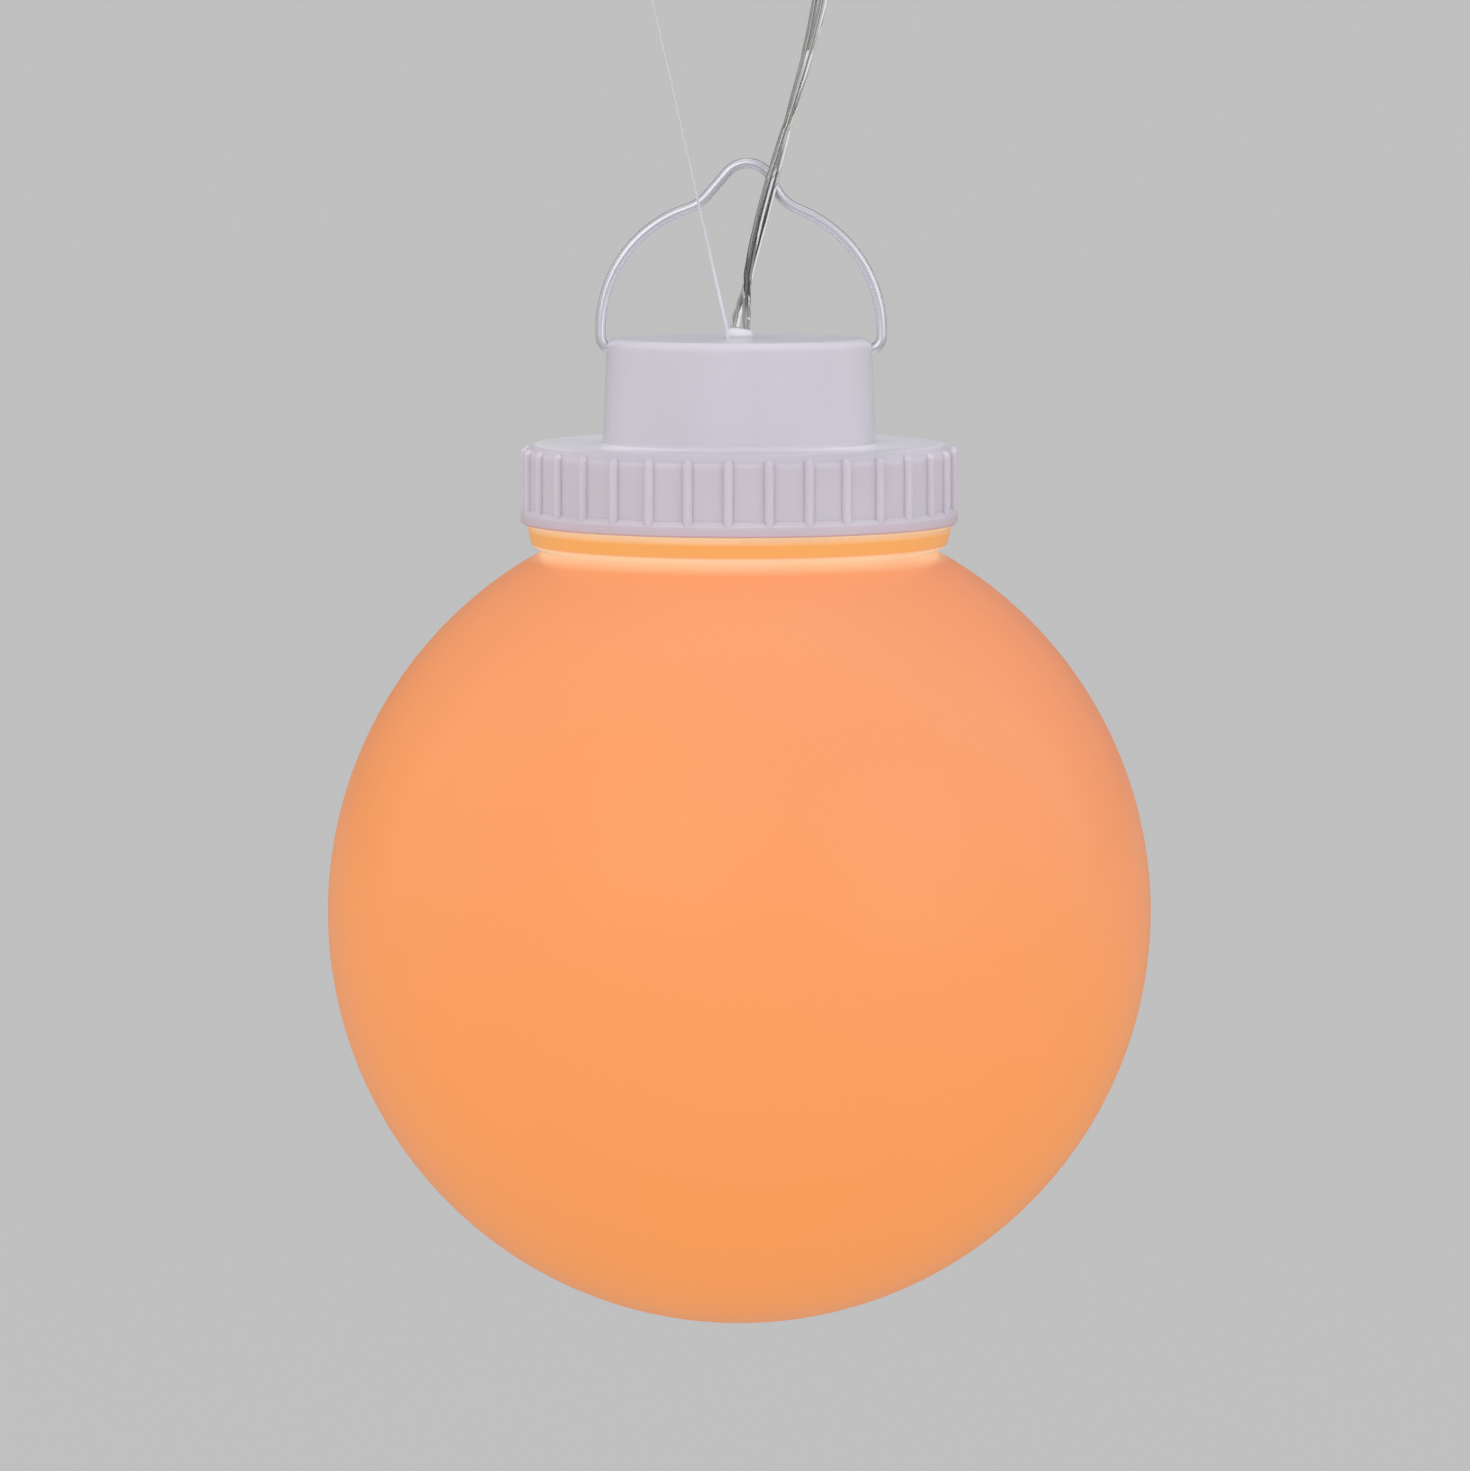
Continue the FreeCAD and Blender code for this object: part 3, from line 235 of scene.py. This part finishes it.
def cap_finish():
    """Milky moulded plastic with a faint lavender cast, a little cloudy from its flow."""
    made = Finish("cap_plastic", (0.6, 0.57, 0.64), 0.4, Specular_IOR_Level=0.3,
                  Subsurface_Weight=0.6, Subsurface_Radius=(1.0, 0.9, 0.95),
                  Subsurface_Scale=0.0018)
    x, y, z = made.axes()
    veins = made.ease(made.noise(60, 3, place=made.stretch((1.0, 1.0, 0.28))), 0.25, 0.75)
    # the turret is painted paler than the ring: one plastic, with a painted difference of light
    # between them
    ring = made.mix(veins, (0.55, 0.52, 0.58), (0.59, 0.555, 0.62))
    turret = made.mix(veins, (0.605, 0.58, 0.635), (0.64, 0.615, 0.67))
    tone = made.mix(made.ease(z, *span(RING_TOP, -0.0002, 0.0004)), ring, turret)
    cloud = made.ease(made.noise(24, 3), 0.3, 0.8, 0.0, 0.6)
    tone = made.mix(cloud, tone, (0.615, 0.58, 0.62))
    # a warmer cast at the left, and the roof
    tone = made.mix(made.ease(x, -0.03, 0.012, 0.45, 0.0), tone, (0.63, 0.57, 0.61))
    roof = made.ease(z, *span(ROOF, -0.0009, -0.0002), 0.0, 0.8)
    tone = made.mix(roof, tone, (0.6, 0.58, 0.635))
    # the flat shoulder: painted shade in front where the turret shades it, painted light beside
    # it, and most painted light near the turret's root
    shoulder = made.band(z, span(RING_TOP, -0.0003, -0.0001), span(RING_TOP, 0.0001, 0.0003))
    sides = made.ease(y, -0.034, -0.016)
    painted_light_beside = made.mix(made.spread(x, -0.02, 0.02), (0.74, 0.73, 0.76), (0.7, 0.69, 0.73))
    reach = made.maths("ADD", made.maths("MULTIPLY", x, x), made.maths("MULTIPLY", y, y))
    painted_light_beside = made.mix(made.ease(reach, 0.0007, 0.0013, 0.7, 0.0), painted_light_beside, (0.84, 0.825, 0.86))
    tone = made.mix(shoulder, tone, made.mix(sides, (0.52, 0.495, 0.555), painted_light_beside))
    # a painted highlight along the turret's root, and painted shade along the ring's upper edge
    # in front
    root = made.band(z, span(RING_TOP, 0.0001, 0.0003), span(RING_TOP, 0.0004, 0.001), 0.6)
    tone = made.mix(root, tone, (0.67, 0.645, 0.71))
    painted_brow_shade = made.band(z, span(RING_TOP, -0.0018, -0.0012), span(RING_TOP, -0.0003, -0.0001), 0.7)
    painted_brow_shade = made.maths("MULTIPLY", painted_brow_shade, made.spread(sides, 0.0, 1.0, 1.0, 0.0))
    tone = made.mix(painted_brow_shade, tone, (0.46, 0.44, 0.5))
    # the globe's light along the lower rim
    warm = made.ease(z, *span(BEAD_TOP, 0.0001, 0.0035), 0.55, 0.0)
    made.colour(made.mix(warm, tone, (0.57, 0.44, 0.49)))
    made.rough(made.ease(made.noise(90, 3), 0.2, 0.8, 0.285, 0.375))
    made.bump(made.noise(110, 2), 0.00006, 0.25)
    made.bump(made.noise(1500, 2), 0.00002, 0.3)
    return made


def bail_finish():
    """Bright plated wire, drawn smooth."""
    made = Finish("bail_wire", (0.85, 0.84, 0.9), 0.33, Metallic=0.72)
    made.mottle(made.noise(140, 2), (0.84, 0.83, 0.895), (0.8, 0.795, 0.855), 0.35, 0.7)
    made.uneven(made.noise(200, 2), 0.32, 0.34)
    made.bump(made.noise(60, 1), 0.00002, 0.15)
    return made


def clear_finish():
    """Clear soft insulation with a faint haze."""
    made = Finish("clear_insulation", (0.96, 0.96, 0.955), 0.03, Transmission_Weight=1.0,
                  IOR=1.46)
    made.mottle(made.noise(260, 3), (0.99, 0.99, 0.985), (0.95, 0.95, 0.95), 0.35, 0.7)
    made.uneven(made.noise(90, 2), 0.0, 0.02)
    made.bump(made.noise(120, 2, place=made.stretch((1.0, 1.0, 0.15))), 0.00002, 0.2)
    return made


def cover_finish():
    """Clear moulded cup, a little frosted."""
    made = Finish("clear_cover", (0.96, 0.965, 0.97), 0.12, Transmission_Weight=1.0, IOR=1.49)
    made.uneven(made.noise(80, 3), 0.06, 0.2)
    made.bump(made.noise(260, 2), 0.00004, 0.25)
    return made


def rubber_finish():
    """Black seal rubber with a dusty bloom."""
    made = Finish("seal_rubber", (0.045, 0.045, 0.048), 0.62)
    made.mottle(made.noise(400, 4), (0.04, 0.04, 0.043), (0.075, 0.075, 0.075))
    made.uneven(made.noise(250, 3), 0.52, 0.72)
    made.bump(made.noise(1400, 2), 0.00005, 0.4)
    return made


def board_finish():
    """White solder mask over faint tracks."""
    made = Finish("board_mask", (0.8, 0.82, 0.8), 0.32)
    weave = add_node(made.tree, "ShaderNodeTexBrick", {"Scale": 900})
    made.link(made.place, weave.inputs["Vector"])
    made.mottle(made.noise(260, 3), (0.8, 0.82, 0.8), (0.74, 0.77, 0.74), 0.4, 0.65)
    made.bump(weave.outputs["Fac"], 0.00003, 0.25)
    return made


def window_finish():
    """Yellow gel over a lamp, glowing unevenly."""
    made = Finish("led_gel", (0.85, 0.55, 0.12), 0.2)
    share = made.spread(made.noise(900, 2), 0.35, 0.65)
    made.glow(made.mix(share, (0.95, 0.62, 0.16), (0.9, 0.5, 0.1)), 0.9)
    made.bump(made.noise(1500, 2), 0.00004, 0.3)
    return made


def mound_finish():
    """White potting round the cable, in shade at its foot."""
    made = Finish("gland_potting", (0.76, 0.75, 0.78), 0.42)
    _, _, z = made.axes()
    foot = made.ease(z, *span(ROOF, 0.0002, 0.0009), 1.0, 0.0)
    share = made.spread(made.noise(45), 0.35, 0.65)
    tone = made.mix(share, (0.78, 0.77, 0.8), (0.7, 0.69, 0.72))
    made.colour(made.mix(foot, tone, (0.55, 0.53, 0.57)))
    made.uneven(made.noise(120), 0.36, 0.5)
    made.bump(made.noise(900, 2), 0.00004, 0.25)
    return made


def thread_finish():
    """Twisted fibre, paler towards its foot over the roof."""
    made = Finish("thread_fibre", (0.66, 0.66, 0.71), 0.5, Sheen_Weight=0.15)
    fibre = made.noise(500, 2, place=made.stretch((1.0, 1.0, 0.05)))
    _, _, z = made.axes()
    foot = made.ease(z, -0.028, -0.004, 1.0, 0.0)
    tone = made.mix(foot, (0.57, 0.57, 0.605), (0.71, 0.705, 0.76))
    made.colour(made.mix(made.spread(fibre, 0.4, 0.7, 0.0, 0.2), tone, (0.5, 0.5, 0.56)))
    made.bump(fibre, 0.00001, 0.2)
    return made


def strand_finish(name, bright, dark):
    """Tinned strands, with a painted highlight above where the cable turns to the light, and
    brighter again at its foot.
    """
    made = Finish(name, bright, 0.35, Metallic=0.3)
    _, _, z = made.axes()
    lift = made.maths("MAXIMUM", made.ease(z, -0.009, 0.004),
                      made.ease(z, -0.027, -0.0235, 1.0, 0.0))
    streak = made.noise(500, 1, place=made.stretch((1.0, 1.0, 0.02)))
    share = made.spread(streak, 0.4, 0.65, 0.0, 0.3)
    made.colour(made.mix(share, made.mix(lift, dark, bright), tuple(0.6 * c for c in bright)))
    made.uneven(streak, 0.3, 0.42)
    return made


FINISHES = {
    "globe": globe_finish(),
    "cap": cap_finish(),
    "wire_bail": bail_finish(),
    "seal_rubber": rubber_finish(),
    "lamp_carrier": plain_plastic("carrier_plastic", (0.76, 0.76, 0.74), (0.7, 0.7, 0.67), 0.5),
    "light_cover": cover_finish(),
    "screws": metal("screw_steel", (0.6, 0.6, 0.61), (1.0, 1.0, 0.2)),
    "led_board": board_finish(),
    "led_chips": plain_plastic("led_ceramic", (0.84, 0.84, 0.82), (0.78, 0.78, 0.75), 0.4),
    "led_windows": window_finish(),
    "control_chip": plain_plastic("chip_epoxy", (0.022, 0.022, 0.023), (0.035, 0.035, 0.036),
                                  0.58, 2200.0),
    "resistors": plain_plastic("resistor_glaze", (0.03, 0.03, 0.034), (0.05, 0.05, 0.055),
                               0.35, 1800.0),
    "solder": metal("solder_tin", (0.66, 0.66, 0.66)),
    "cable_gland": plain_plastic("gland_plastic", (0.78, 0.77, 0.8), (0.7, 0.69, 0.72), 0.42),
    "mound": mound_finish(),
    "strain_clip": plain_plastic("clip_plastic", (0.78, 0.78, 0.75), (0.7, 0.7, 0.67), 0.5),
    "lead_positive": plain_plastic("lead_red", (0.42, 0.012, 0.01), (0.3, 0.01, 0.008), 0.38),
    "lead_negative": plain_plastic("lead_black", (0.02, 0.02, 0.021), (0.035, 0.035, 0.036),
                                   0.38),
    "ceiling_fitting": plain_plastic("fitting_plastic", (0.74, 0.74, 0.75), (0.68, 0.68, 0.69),
                                     0.38),
    "thread": thread_finish(),
    "clear": clear_finish(),
    # a lit and a shaded copy of the strands: the shaded one is painted shade for the cable's dark
    # lines
    "strand": strand_finish("tinned_strand", (0.97, 0.93, 0.89), (0.3, 0.31, 0.34)),
    "dark_strand": strand_finish("shaded_strand", (0.36, 0.32, 0.3), (0.09, 0.095, 0.11)),
    "copper": metal("gold_pad", (0.72, 0.52, 0.24)),
}
# the nodes whose finish has another name than their own
SHARED = {
    "neck_gasket": "seal_rubber", "carrier_oring": "seal_rubber",
    "cover_screws": "screws", "board_screws": "screws", "solder_joints": "solder",
    "hanging_thread": "thread", "thread_stop": "thread", "thread_loop": "thread",
    "cable": "clear",
}
for name, thing in nodes.items():
    thing.data.materials.clear()
    thing.data.materials.append(FINISHES[SHARED.get(name, name)].material)


# ---------------------------------------------------------------- helpers: meshes
def piece(name, points, faces, finish, body, slot, sharp=35):
    """A smooth piece that rides a body, with edges over so many degrees kept sharp."""
    mesh = bpy.data.meshes.new(name)
    mesh.from_pydata([tuple(p) for p in points], [], faces)
    mesh.validate()
    work = bmesh.new()
    work.from_mesh(mesh)
    bmesh.ops.recalc_face_normals(work, faces=work.faces)
    work.to_mesh(mesh)
    work.free()
    for polygon in mesh.polygons:
        polygon.use_smooth = True
    mesh.set_sharp_from_angle(angle=math.radians(sharp))
    mesh.materials.append(FINISHES[finish].material)
    made = bpy.data.objects.new(name, mesh)
    scene.collection.objects.link(made)
    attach(made, body)
    return made


def route(points, detail=48):
    """Points along the smooth curve that a cord's route gives."""
    curve = bpy.data.curves.new("route", "CURVE")
    curve.dimensions = "3D"
    curve.resolution_u = detail
    spline = curve.splines.new("NURBS")
    spline.points.add(len(points) - 1)
    for held, point in zip(spline.points, points):
        held.co = (*point, 1)
    spline.order_u = 3
    spline.use_endpoint_u = True
    holder = bpy.data.objects.new("route", curve)
    scene.collection.objects.link(holder)
    line = bpy.data.meshes.new_from_object(holder)
    found = [v.co.copy() for v in line.vertices]
    bpy.data.objects.remove(holder)
    bpy.data.curves.remove(curve)
    bpy.data.meshes.remove(line)
    return found


def frames(line):
    """A point, a sideways and a forward direction at each step, sideways nearest to X."""
    found = []
    for number, point in enumerate(line):
        before, after = line[max(number - 1, 0)], line[min(number + 1, len(line) - 1)]
        along = (after - before).normalized()
        side = (Vector((1, 0, 0)) - along * along.x).normalized()
        found.append((point, side, side.cross(along).normalized()))
    return found


def turned(step, angle):
    """A direction square to the line, at an angle from sideways to forward."""
    return step[1] * math.cos(angle) + step[2] * math.sin(angle)


def circle(centre, step, radius, sides):
    """Points round a centre, square to the line."""
    return [centre + turned(step, 2 * math.pi * i / sides) * radius for i in range(sides)]


def loft(rows):
    """Points and faces of a closed skin over rows of as many points each."""
    around, points, faces = len(rows[0]), [p for row in rows for p in row], []
    for low in range(0, (len(rows) - 1) * around, around):
        for side in range(around):
            after = (side + 1) % around
            faces.append((low + side, low + after, low + around + after, low + around + side))
    faces.append(tuple(range(around))[::-1])
    faces.append(tuple(range(len(points) - around, len(points))))
    return points, faces


def joined(parts):
    """Points and faces of several parts as one."""
    points, faces = [], []
    for more_points, more_faces in parts:
        base = len(points)
        points += more_points
        faces += [tuple(base + i for i in face) for face in more_faces]
    return points, faces


def between(table, at):
    """A value read from a table of (place, value), eased between its rows."""
    for (first, low), (second, high) in zip(table, table[1:]):
        if first <= at <= second:
            share = (at - first) / (second - first)
            share = share * share * (3 - 2 * share)
            return low + (high - low) * share
    return table[0][1] if at < table[0][0] else table[-1][1]


# ---------------------------------------------------------------- the twin cable
cable_line = route([(0, 0, -0.039155), (0, 0, -0.025355), (0.0055, -0.0035, -0.002455),
                    (0.0161, -0.004, 0.033545), (0.01555, -0.004, 0.044145)])
cable_steps = frames(cable_line)
CORE, CORE_OFFSET = 0.00077, 0.00073
# by height: degrees that the pair is turned from broadside, how far its cores lie apart, and
# how far the left core leans out where the pair splits above the mound
TURN = [(-0.0392, 0), (-0.0291, 12), (-0.0267, 38), (-0.0238, 64), (-0.021, 90), (-0.0181, 109),
        (-0.0123, 124), (-0.008, 133), (-0.002, 128), (0.003, 115), (0.0058, 106), (0.009, 90),
        (0.013, 78), (0.0187, 68), (0.023, 55), (0.0302, 36), (0.038, 10), (0.0442, 0)]
APART = [(-0.0392, 1.0), (-0.029, 1.1), (-0.025, 1.12), (-0.019, 1.0)]
LEAN = [(-0.0308, 0.0), (-0.0285, 0.0006), (-0.0265, 0.0005), (-0.0215, 0.0)]
# six strands laid round the middle of each core, thinner where the cores part
STRAND, STRAND_RING, LAY = 0.00011, 0.00018, 0.2
THIN = [(-0.0392, 0.44), (-0.0265, 0.44), (-0.021, 0.85), (-0.009, 0.85), (0.004, 0.62)]
CORE_SIDES, STRAND_SIDES = 18, 8


def core_centre(step, side):
    point = step[0]
    away = turned(step, math.radians(between(TURN, point.z)))
    lean = between(LEAN, point.z) if side < 0 else 0
    return point + away * (CORE_OFFSET * between(APART, point.z) * side) - step[1] * lean


def core(side):
    return loft([circle(core_centre(step, side), step, CORE, CORE_SIDES)
                 for step in cable_steps])


def strand(side, place):
    rows = []
    for step in cable_steps[1:-1]:
        height = step[0].z
        thin = between(THIN, height)
        away = turned(step, math.pi * place / 3 + 2 * math.pi * height / LAY)
        centre = core_centre(step, side) + away * (STRAND_RING * thin)
        rows.append(circle(centre, step, STRAND * thin, STRAND_SIDES))
    return loft(rows)


def strand_piece(name, places, finish):
    strands = [strand(side, place) for side in (-1, 1) for place in places]
    return piece(name, *joined(strands), finish, "cap", "cable_clear")


flex = piece("flex_insulation", *joined([core(side) for side in (-1, 1)]), "clear", "cap",
             "cable_clear")
strands = strand_piece("flex_strands", (0, 2, 3, 5), "strand")
# two strands of each core take the darker copy, painted shade that draws the cable's dark lines
dark_strands = strand_piece("flex_dark_strands", (1, 4), "dark_strand")
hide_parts("cable")

# ---------------------------------------------------------------- the hanging thread
thread_line = route([(-0.0021, -0.007, -0.033755), (-0.0021, -0.007, -0.0303),
                     (-0.0021, -0.007, -0.0288), (-0.0032, -0.00693, -0.0242),
                     (-0.0097, -0.0065, 0.0045), (-0.01684, -0.006, 0.035645)], 64)
thread_steps = frames(thread_line)
# a ply's radius by height, the share of it that the ply lies off the middle, and the twist
PLY = [(-0.034, 0.00029), (-0.0285, 0.00029), (-0.02, 0.00026), (0.0, 0.00022),
       (0.036, 0.0002)]
PLY_OFFSET, TWIST, PLY_SIDES = 0.12, 0.0075, 8


def ply(turn):
    rows = []
    for step in thread_steps:
        radius = between(PLY, step[0].z)
        away = turned(step, 2 * math.pi * step[0].z / TWIST + turn)
        centre = step[0] + away * radius * PLY_OFFSET
        rows.append(circle(centre, step, radius, PLY_SIDES))
    return loft(rows)


thread = piece("twisted_thread", *joined([ply(turn) for turn in (0.0, math.pi)]), "thread",
               "cap", "thread_white")
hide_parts("hanging_thread")

# ---------------------------------------------------------------- the mound over the cable gland
# radius and height of its outline in millimetres, from foot to top
MOUND = [(2.62, -0.02), (2.58, 0.14), (2.46, 0.5), (2.32, 0.95), (2.12, 1.38), (1.8, 1.68),
         (1.35, 1.82), (0.8, 1.87), (0.3, 1.88)]
MOUND_SIDES = 72
MM = 0.001


def lump(angle, share):
    """How far the mound swells at a direction, share 0 at its foot and 1 at its top."""
    wave = 0.5 * math.sin(2 * angle + 0.6) + 0.32 * math.sin(5 * angle + 2.1 + 2 * share)
    wave += 0.22 * math.sin(9 * angle + 0.4 - 3 * share)
    return wave + 0.12 * math.sin(14 * angle + 1.3 + 5 * share)


def mound_row(radius, height, share):
    """The left of the mound rises a little more than its right."""
    row = []
    for number in range(MOUND_SIDES):
        angle = 2 * math.pi * number / MOUND_SIDES
        swell = lump(angle, share)
        reach = (radius + 0.11 * swell * (1 - share)) * MM
        left = 0.2 * max(0.0, -math.cos(angle)) * (1 - share)
        rise = height + (0.15 * swell + left) * share
        row.append(Vector((reach * math.cos(angle), reach * math.sin(angle), ROOF + rise * MM)))
    return row


mound = loft([mound_row(*size, row / (len(MOUND) - 1)) for row, size in enumerate(MOUND)])
piece("gland_mound", *mound, "mound", "cap", "gland_white", 60)

# ---------------------------------------------------------------- screw thread of neck and skirt
PITCH = 0.0035
RIDGE_LOW = BEAD_TOP + 0.0016
STEPS_A_TURN, FADE_STEPS = 72, 14


def ridge(root, tip, low, turns, half_root, half_tip):
    """A right-hand ridge from root to tip radius that starts and ends in a taper."""
    rows, count = [], int(turns * STEPS_A_TURN)
    up = Vector((0, 0, 1))
    for number in range(count + 1):
        angle = 2 * math.pi * number / STEPS_A_TURN
        z = low + PITCH * angle / (2 * math.pi)
        fade = max(min(1.0, number / FADE_STEPS, (count - number) / FADE_STEPS), 0.02)
        reach = root + (tip - root) * fade
        out = Vector((math.cos(angle), math.sin(angle), 0))
        rows.append([out * root + up * (z - half_root), out * reach + up * (z - half_tip),
                     out * reach + up * (z + half_tip), out * root + up * (z + half_root)])
    return loft(rows)


piece("neck_thread", *ridge(NECK_RADIUS - 0.0003, 0.0361, RIDGE_LOW, 2.0, 0.00095, 0.00035),
      "globe", "globe", "globe_orange")
piece("skirt_thread", *ridge(SKIRT_BORE + 0.0002, 0.0353, RIDGE_LOW + PITCH / 2, 2.4, 0.00085,
                             0.0003), "cap", "cap", "cap_white")

# ---------------------------------------------------------------- the board's small parts
LAMP_COUNT, LAMP_RING = 6, 0.0086
# two pads under each lamp: half their length and width, how far aside they lie, and how thick
PAD_HALF, PAD_ASIDE, PAD_THICK = (0.0029, 0.0007), 0.0015, 0.00012
# the chip's legs: each has three runs between two corners, in Y and in height from the board
LEG_COUNT, LEG_PITCH, LEG_HALF = 4, 0.00127, 0.0002
LEG_RUNS = [((0.00195, -0.0009), (0.0023, -0.00075)), ((0.0022, -0.0009), (0.00235, -0.00012)),
            ((0.0022, -0.00018), (0.00285, -0.00005))]
# the metal ends of the two resistors
END_PLACE, END_HALF, END_THICK = (0.0014, 0.0046), (0.00026, 0.00086), 0.00067


def block(low, high, turn=0.0):
    """A box between two corners, turned about the Z axis."""
    corners = [Vector((x, y, z)) for x in (low[0], high[0]) for y in (low[1], high[1])
               for z in (low[2], high[2])]
    spin = Matrix.Rotation(turn, 3, "Z")
    return [spin @ c for c in corners], [(0, 1, 3, 2), (4, 6, 7, 5), (0, 4, 5, 1),
                                         (2, 3, 7, 6), (0, 2, 6, 4), (1, 5, 7, 3)]


def slab(x, y, half, thick, turn=0.0):
    """A flat box under the board, round a place."""
    return block((x - half[0], y - half[1], BOARD - thick), (x + half[0], y + half[1], BOARD),
                 turn)


pads = [slab(LAMP_RING, side * PAD_ASIDE, PAD_HALF, PAD_THICK,
             math.radians(360 / LAMP_COUNT * number))
        for number in range(LAMP_COUNT) for side in (-1, 1)]
legs = []
for flip in (math.pi, 0.0):
    for number in range(LEG_COUNT):
        x = (number - (LEG_COUNT - 1) / 2) * LEG_PITCH
        for (near, bottom), (far, top) in LEG_RUNS:
            legs.append(block((x - LEG_HALF, near, BOARD + bottom),
                              (x + LEG_HALF, far, BOARD + top), flip))
ends = [slab(end * END_PLACE[0], side * END_PLACE[1], END_HALF, END_THICK)
        for side in (-1, 1) for end in (-1, 1)]
piece("board_pads", *joined(pads), "copper", "cap", "board_white")
piece("chip_legs", *joined(legs), "solder", "cap", "solder")
piece("resistor_caps", *joined(ends), "solder", "cap", "solder")

# ---------------------------------------------------------------- stage
BACKGROUND = 0.527  # the grey of the photograph's background
FLOOR_GLOW, FLOOR_GREY = 0.519, 0.6
FLOOR_SHARE = 0.93  # of the floor is glow where it is seen, and the rest keeps the shadow
FLOOR_RADIUS, FLOOR_DROP = 14.0, 0.16


def grey(value):
    return value, value, value, 1


def mix_shaders(tree, share, first, second):
    made = add_node(tree, "ShaderNodeMixShader")
    for number, source in enumerate((share, first, second)):
        tree.links.new(source, made.inputs[number])
    return made.outputs[0]


def stage_finish():
    """The background's grey for the eye, gloss and glass, and a plain floor for the rest."""
    material = bpy.data.materials.new("stage")
    material.use_nodes = True
    tree = material.node_tree
    tree.nodes.clear()
    ray = add_node(tree, "ShaderNodeLightPath").outputs
    diffuse = add_node(tree, "ShaderNodeBsdfDiffuse", {"Color": grey(FLOOR_GREY)})
    glow = add_node(tree, "ShaderNodeEmission", {"Color": grey(FLOOR_GLOW)})
    strength = add_node(tree, "ShaderNodeMapRange", {"To Min": 1.0, "To Max": 0.5})
    tree.links.new(ray["Is Glossy Ray"], strength.inputs["Value"])
    tree.links.new(strength.outputs["Result"], glow.inputs["Strength"])
    seen = add_maths(tree, "MAXIMUM", ray["Is Glossy Ray"], ray["Is Transmission Ray"])
    seen = add_maths(tree, "MAXIMUM", ray["Is Camera Ray"], seen)
    share = add_maths(tree, "MULTIPLY", seen, FLOOR_SHARE)
    out = add_node(tree, "ShaderNodeOutputMaterial")
    tree.links.new(mix_shaders(tree, share, diffuse.outputs[0], glow.outputs[0]),
                   out.inputs["Surface"])
    return material


floor_mesh = bpy.data.meshes.new("floor")
work = bmesh.new()
lowered = Matrix.Translation((0, 0, GLOBE_CENTRE - GLOBE_RADIUS - FLOOR_DROP))
bmesh.ops.create_circle(work, cap_ends=True, segments=96, radius=FLOOR_RADIUS, matrix=lowered)
work.to_mesh(floor_mesh)
work.free()
floor_mesh.materials.append(stage_finish())
floor = bpy.data.objects.new("floor", floor_mesh)
scene.collection.objects.link(floor)


# ---------------------------------------------------------------- world
def background(tree, colour=(1, 1, 1, 1), strength=1.0):
    return add_node(tree, "ShaderNodeBackground", {"Color": colour, "Strength": strength})


def backdrop(tree, where, stops):
    """A grey whose strength follows a curve through stops of (place, strength)."""
    ramp = tree.nodes.new("ShaderNodeFloatCurve")
    curve = ramp.mapping.curves[0]
    for number, (place, value) in enumerate(stops):
        point = curve.points[number] if number < 2 else curve.points.new(place, value)
        point.location = (place, value)
    ramp.mapping.update()
    tree.links.new(where, ramp.inputs["Value"])
    made = add_node(tree, "ShaderNodeBackground")
    tree.links.new(ramp.outputs["Value"], made.inputs["Strength"])
    return made.outputs[0]


def studio_world():
    """The background for the camera, an even studio for the light, and walls for gloss and glass.

    Gloss sees the pale backdrop behind, a bright band across the view and dimmer sides. Glass
    sees bright walls with dark far sides, so that clear edges get a thin dark line.
    """
    world = bpy.data.worlds.new("studio")
    scene.world = world
    world.use_nodes = True
    tree = world.node_tree
    tree.nodes.clear()
    around = add_node(tree, "ShaderNodeTexCoord")
    apart = add_node(tree, "ShaderNodeSeparateXYZ")
    tree.links.new(around.outputs["Generated"], apart.inputs[0])
    aside = add_node(tree, "ShaderNodeMath", operation="ABSOLUTE")
    tree.links.new(apart.outputs["X"], aside.inputs[0])
    depth = add_node(tree, "ShaderNodeMapRange", {"From Min": -1.0})
    tree.links.new(apart.outputs["Y"], depth.inputs["Value"])
    mirrored = backdrop(tree, depth.outputs["Result"],
                        [(0.0, 0.5), (1.0, 0.5), (0.25, 0.42), (0.4, 0.5), (0.47, 0.7),
                         (0.54, 0.7), (0.62, 0.16), (0.95, 0.14), (0.985, 0.2)])
    through = backdrop(tree, aside.outputs[0],
                       [(0.0, 0.527), (1.0, 0.1), (0.22, 0.58), (0.4, 0.92), (0.8, 0.97),
                        (0.92, 0.14)])
    studio = background(tree, (0.97, 0.97, 1.0, 1), 0.98).outputs[0]
    plain = background(tree, grey(BACKGROUND)).outputs[0]
    ray = add_node(tree, "ShaderNodeLightPath").outputs
    shown = mix_shaders(tree, ray["Is Glossy Ray"], studio, mirrored)
    shown = mix_shaders(tree, ray["Is Transmission Ray"], shown, through)
    shown = mix_shaders(tree, ray["Is Camera Ray"], shown, plain)
    tree.links.new(shown, add_node(tree, "ShaderNodeOutputWorld").inputs["Surface"])


studio_world()


# ---------------------------------------------------------------- lamps
def softbox(name, place, aim, size, power):
    data = bpy.data.lights.new(name, "AREA")
    data.shape = "RECTANGLE"
    data.size, data.size_y = size
    data.energy = power
    made = bpy.data.objects.new(name, data)
    scene.collection.objects.link(made)
    made.location = place
    made.rotation_mode = "QUATERNION"
    made.rotation_quaternion = (Vector(aim) - Vector(place)).to_track_quat("-Z", "Y")


softbox("key", (-0.7, -1.7, 0.7), (0, 0, -0.1), (1.6, 1.4), 7)
softbox("fill", (1.4, -1.3, 0.4), (0, 0, -0.1), (1.2, 1.4), 5)
softbox("top", (0.1, -0.1, 1.6), (0, 0, -0.05), (1.4, 1.4), 2.5)
for side in (-1, 1):
    softbox("strip", (1.4 * side, 0.5, 0.4), (0, 0, -0.05), (0.15, 1.2), 0.7)
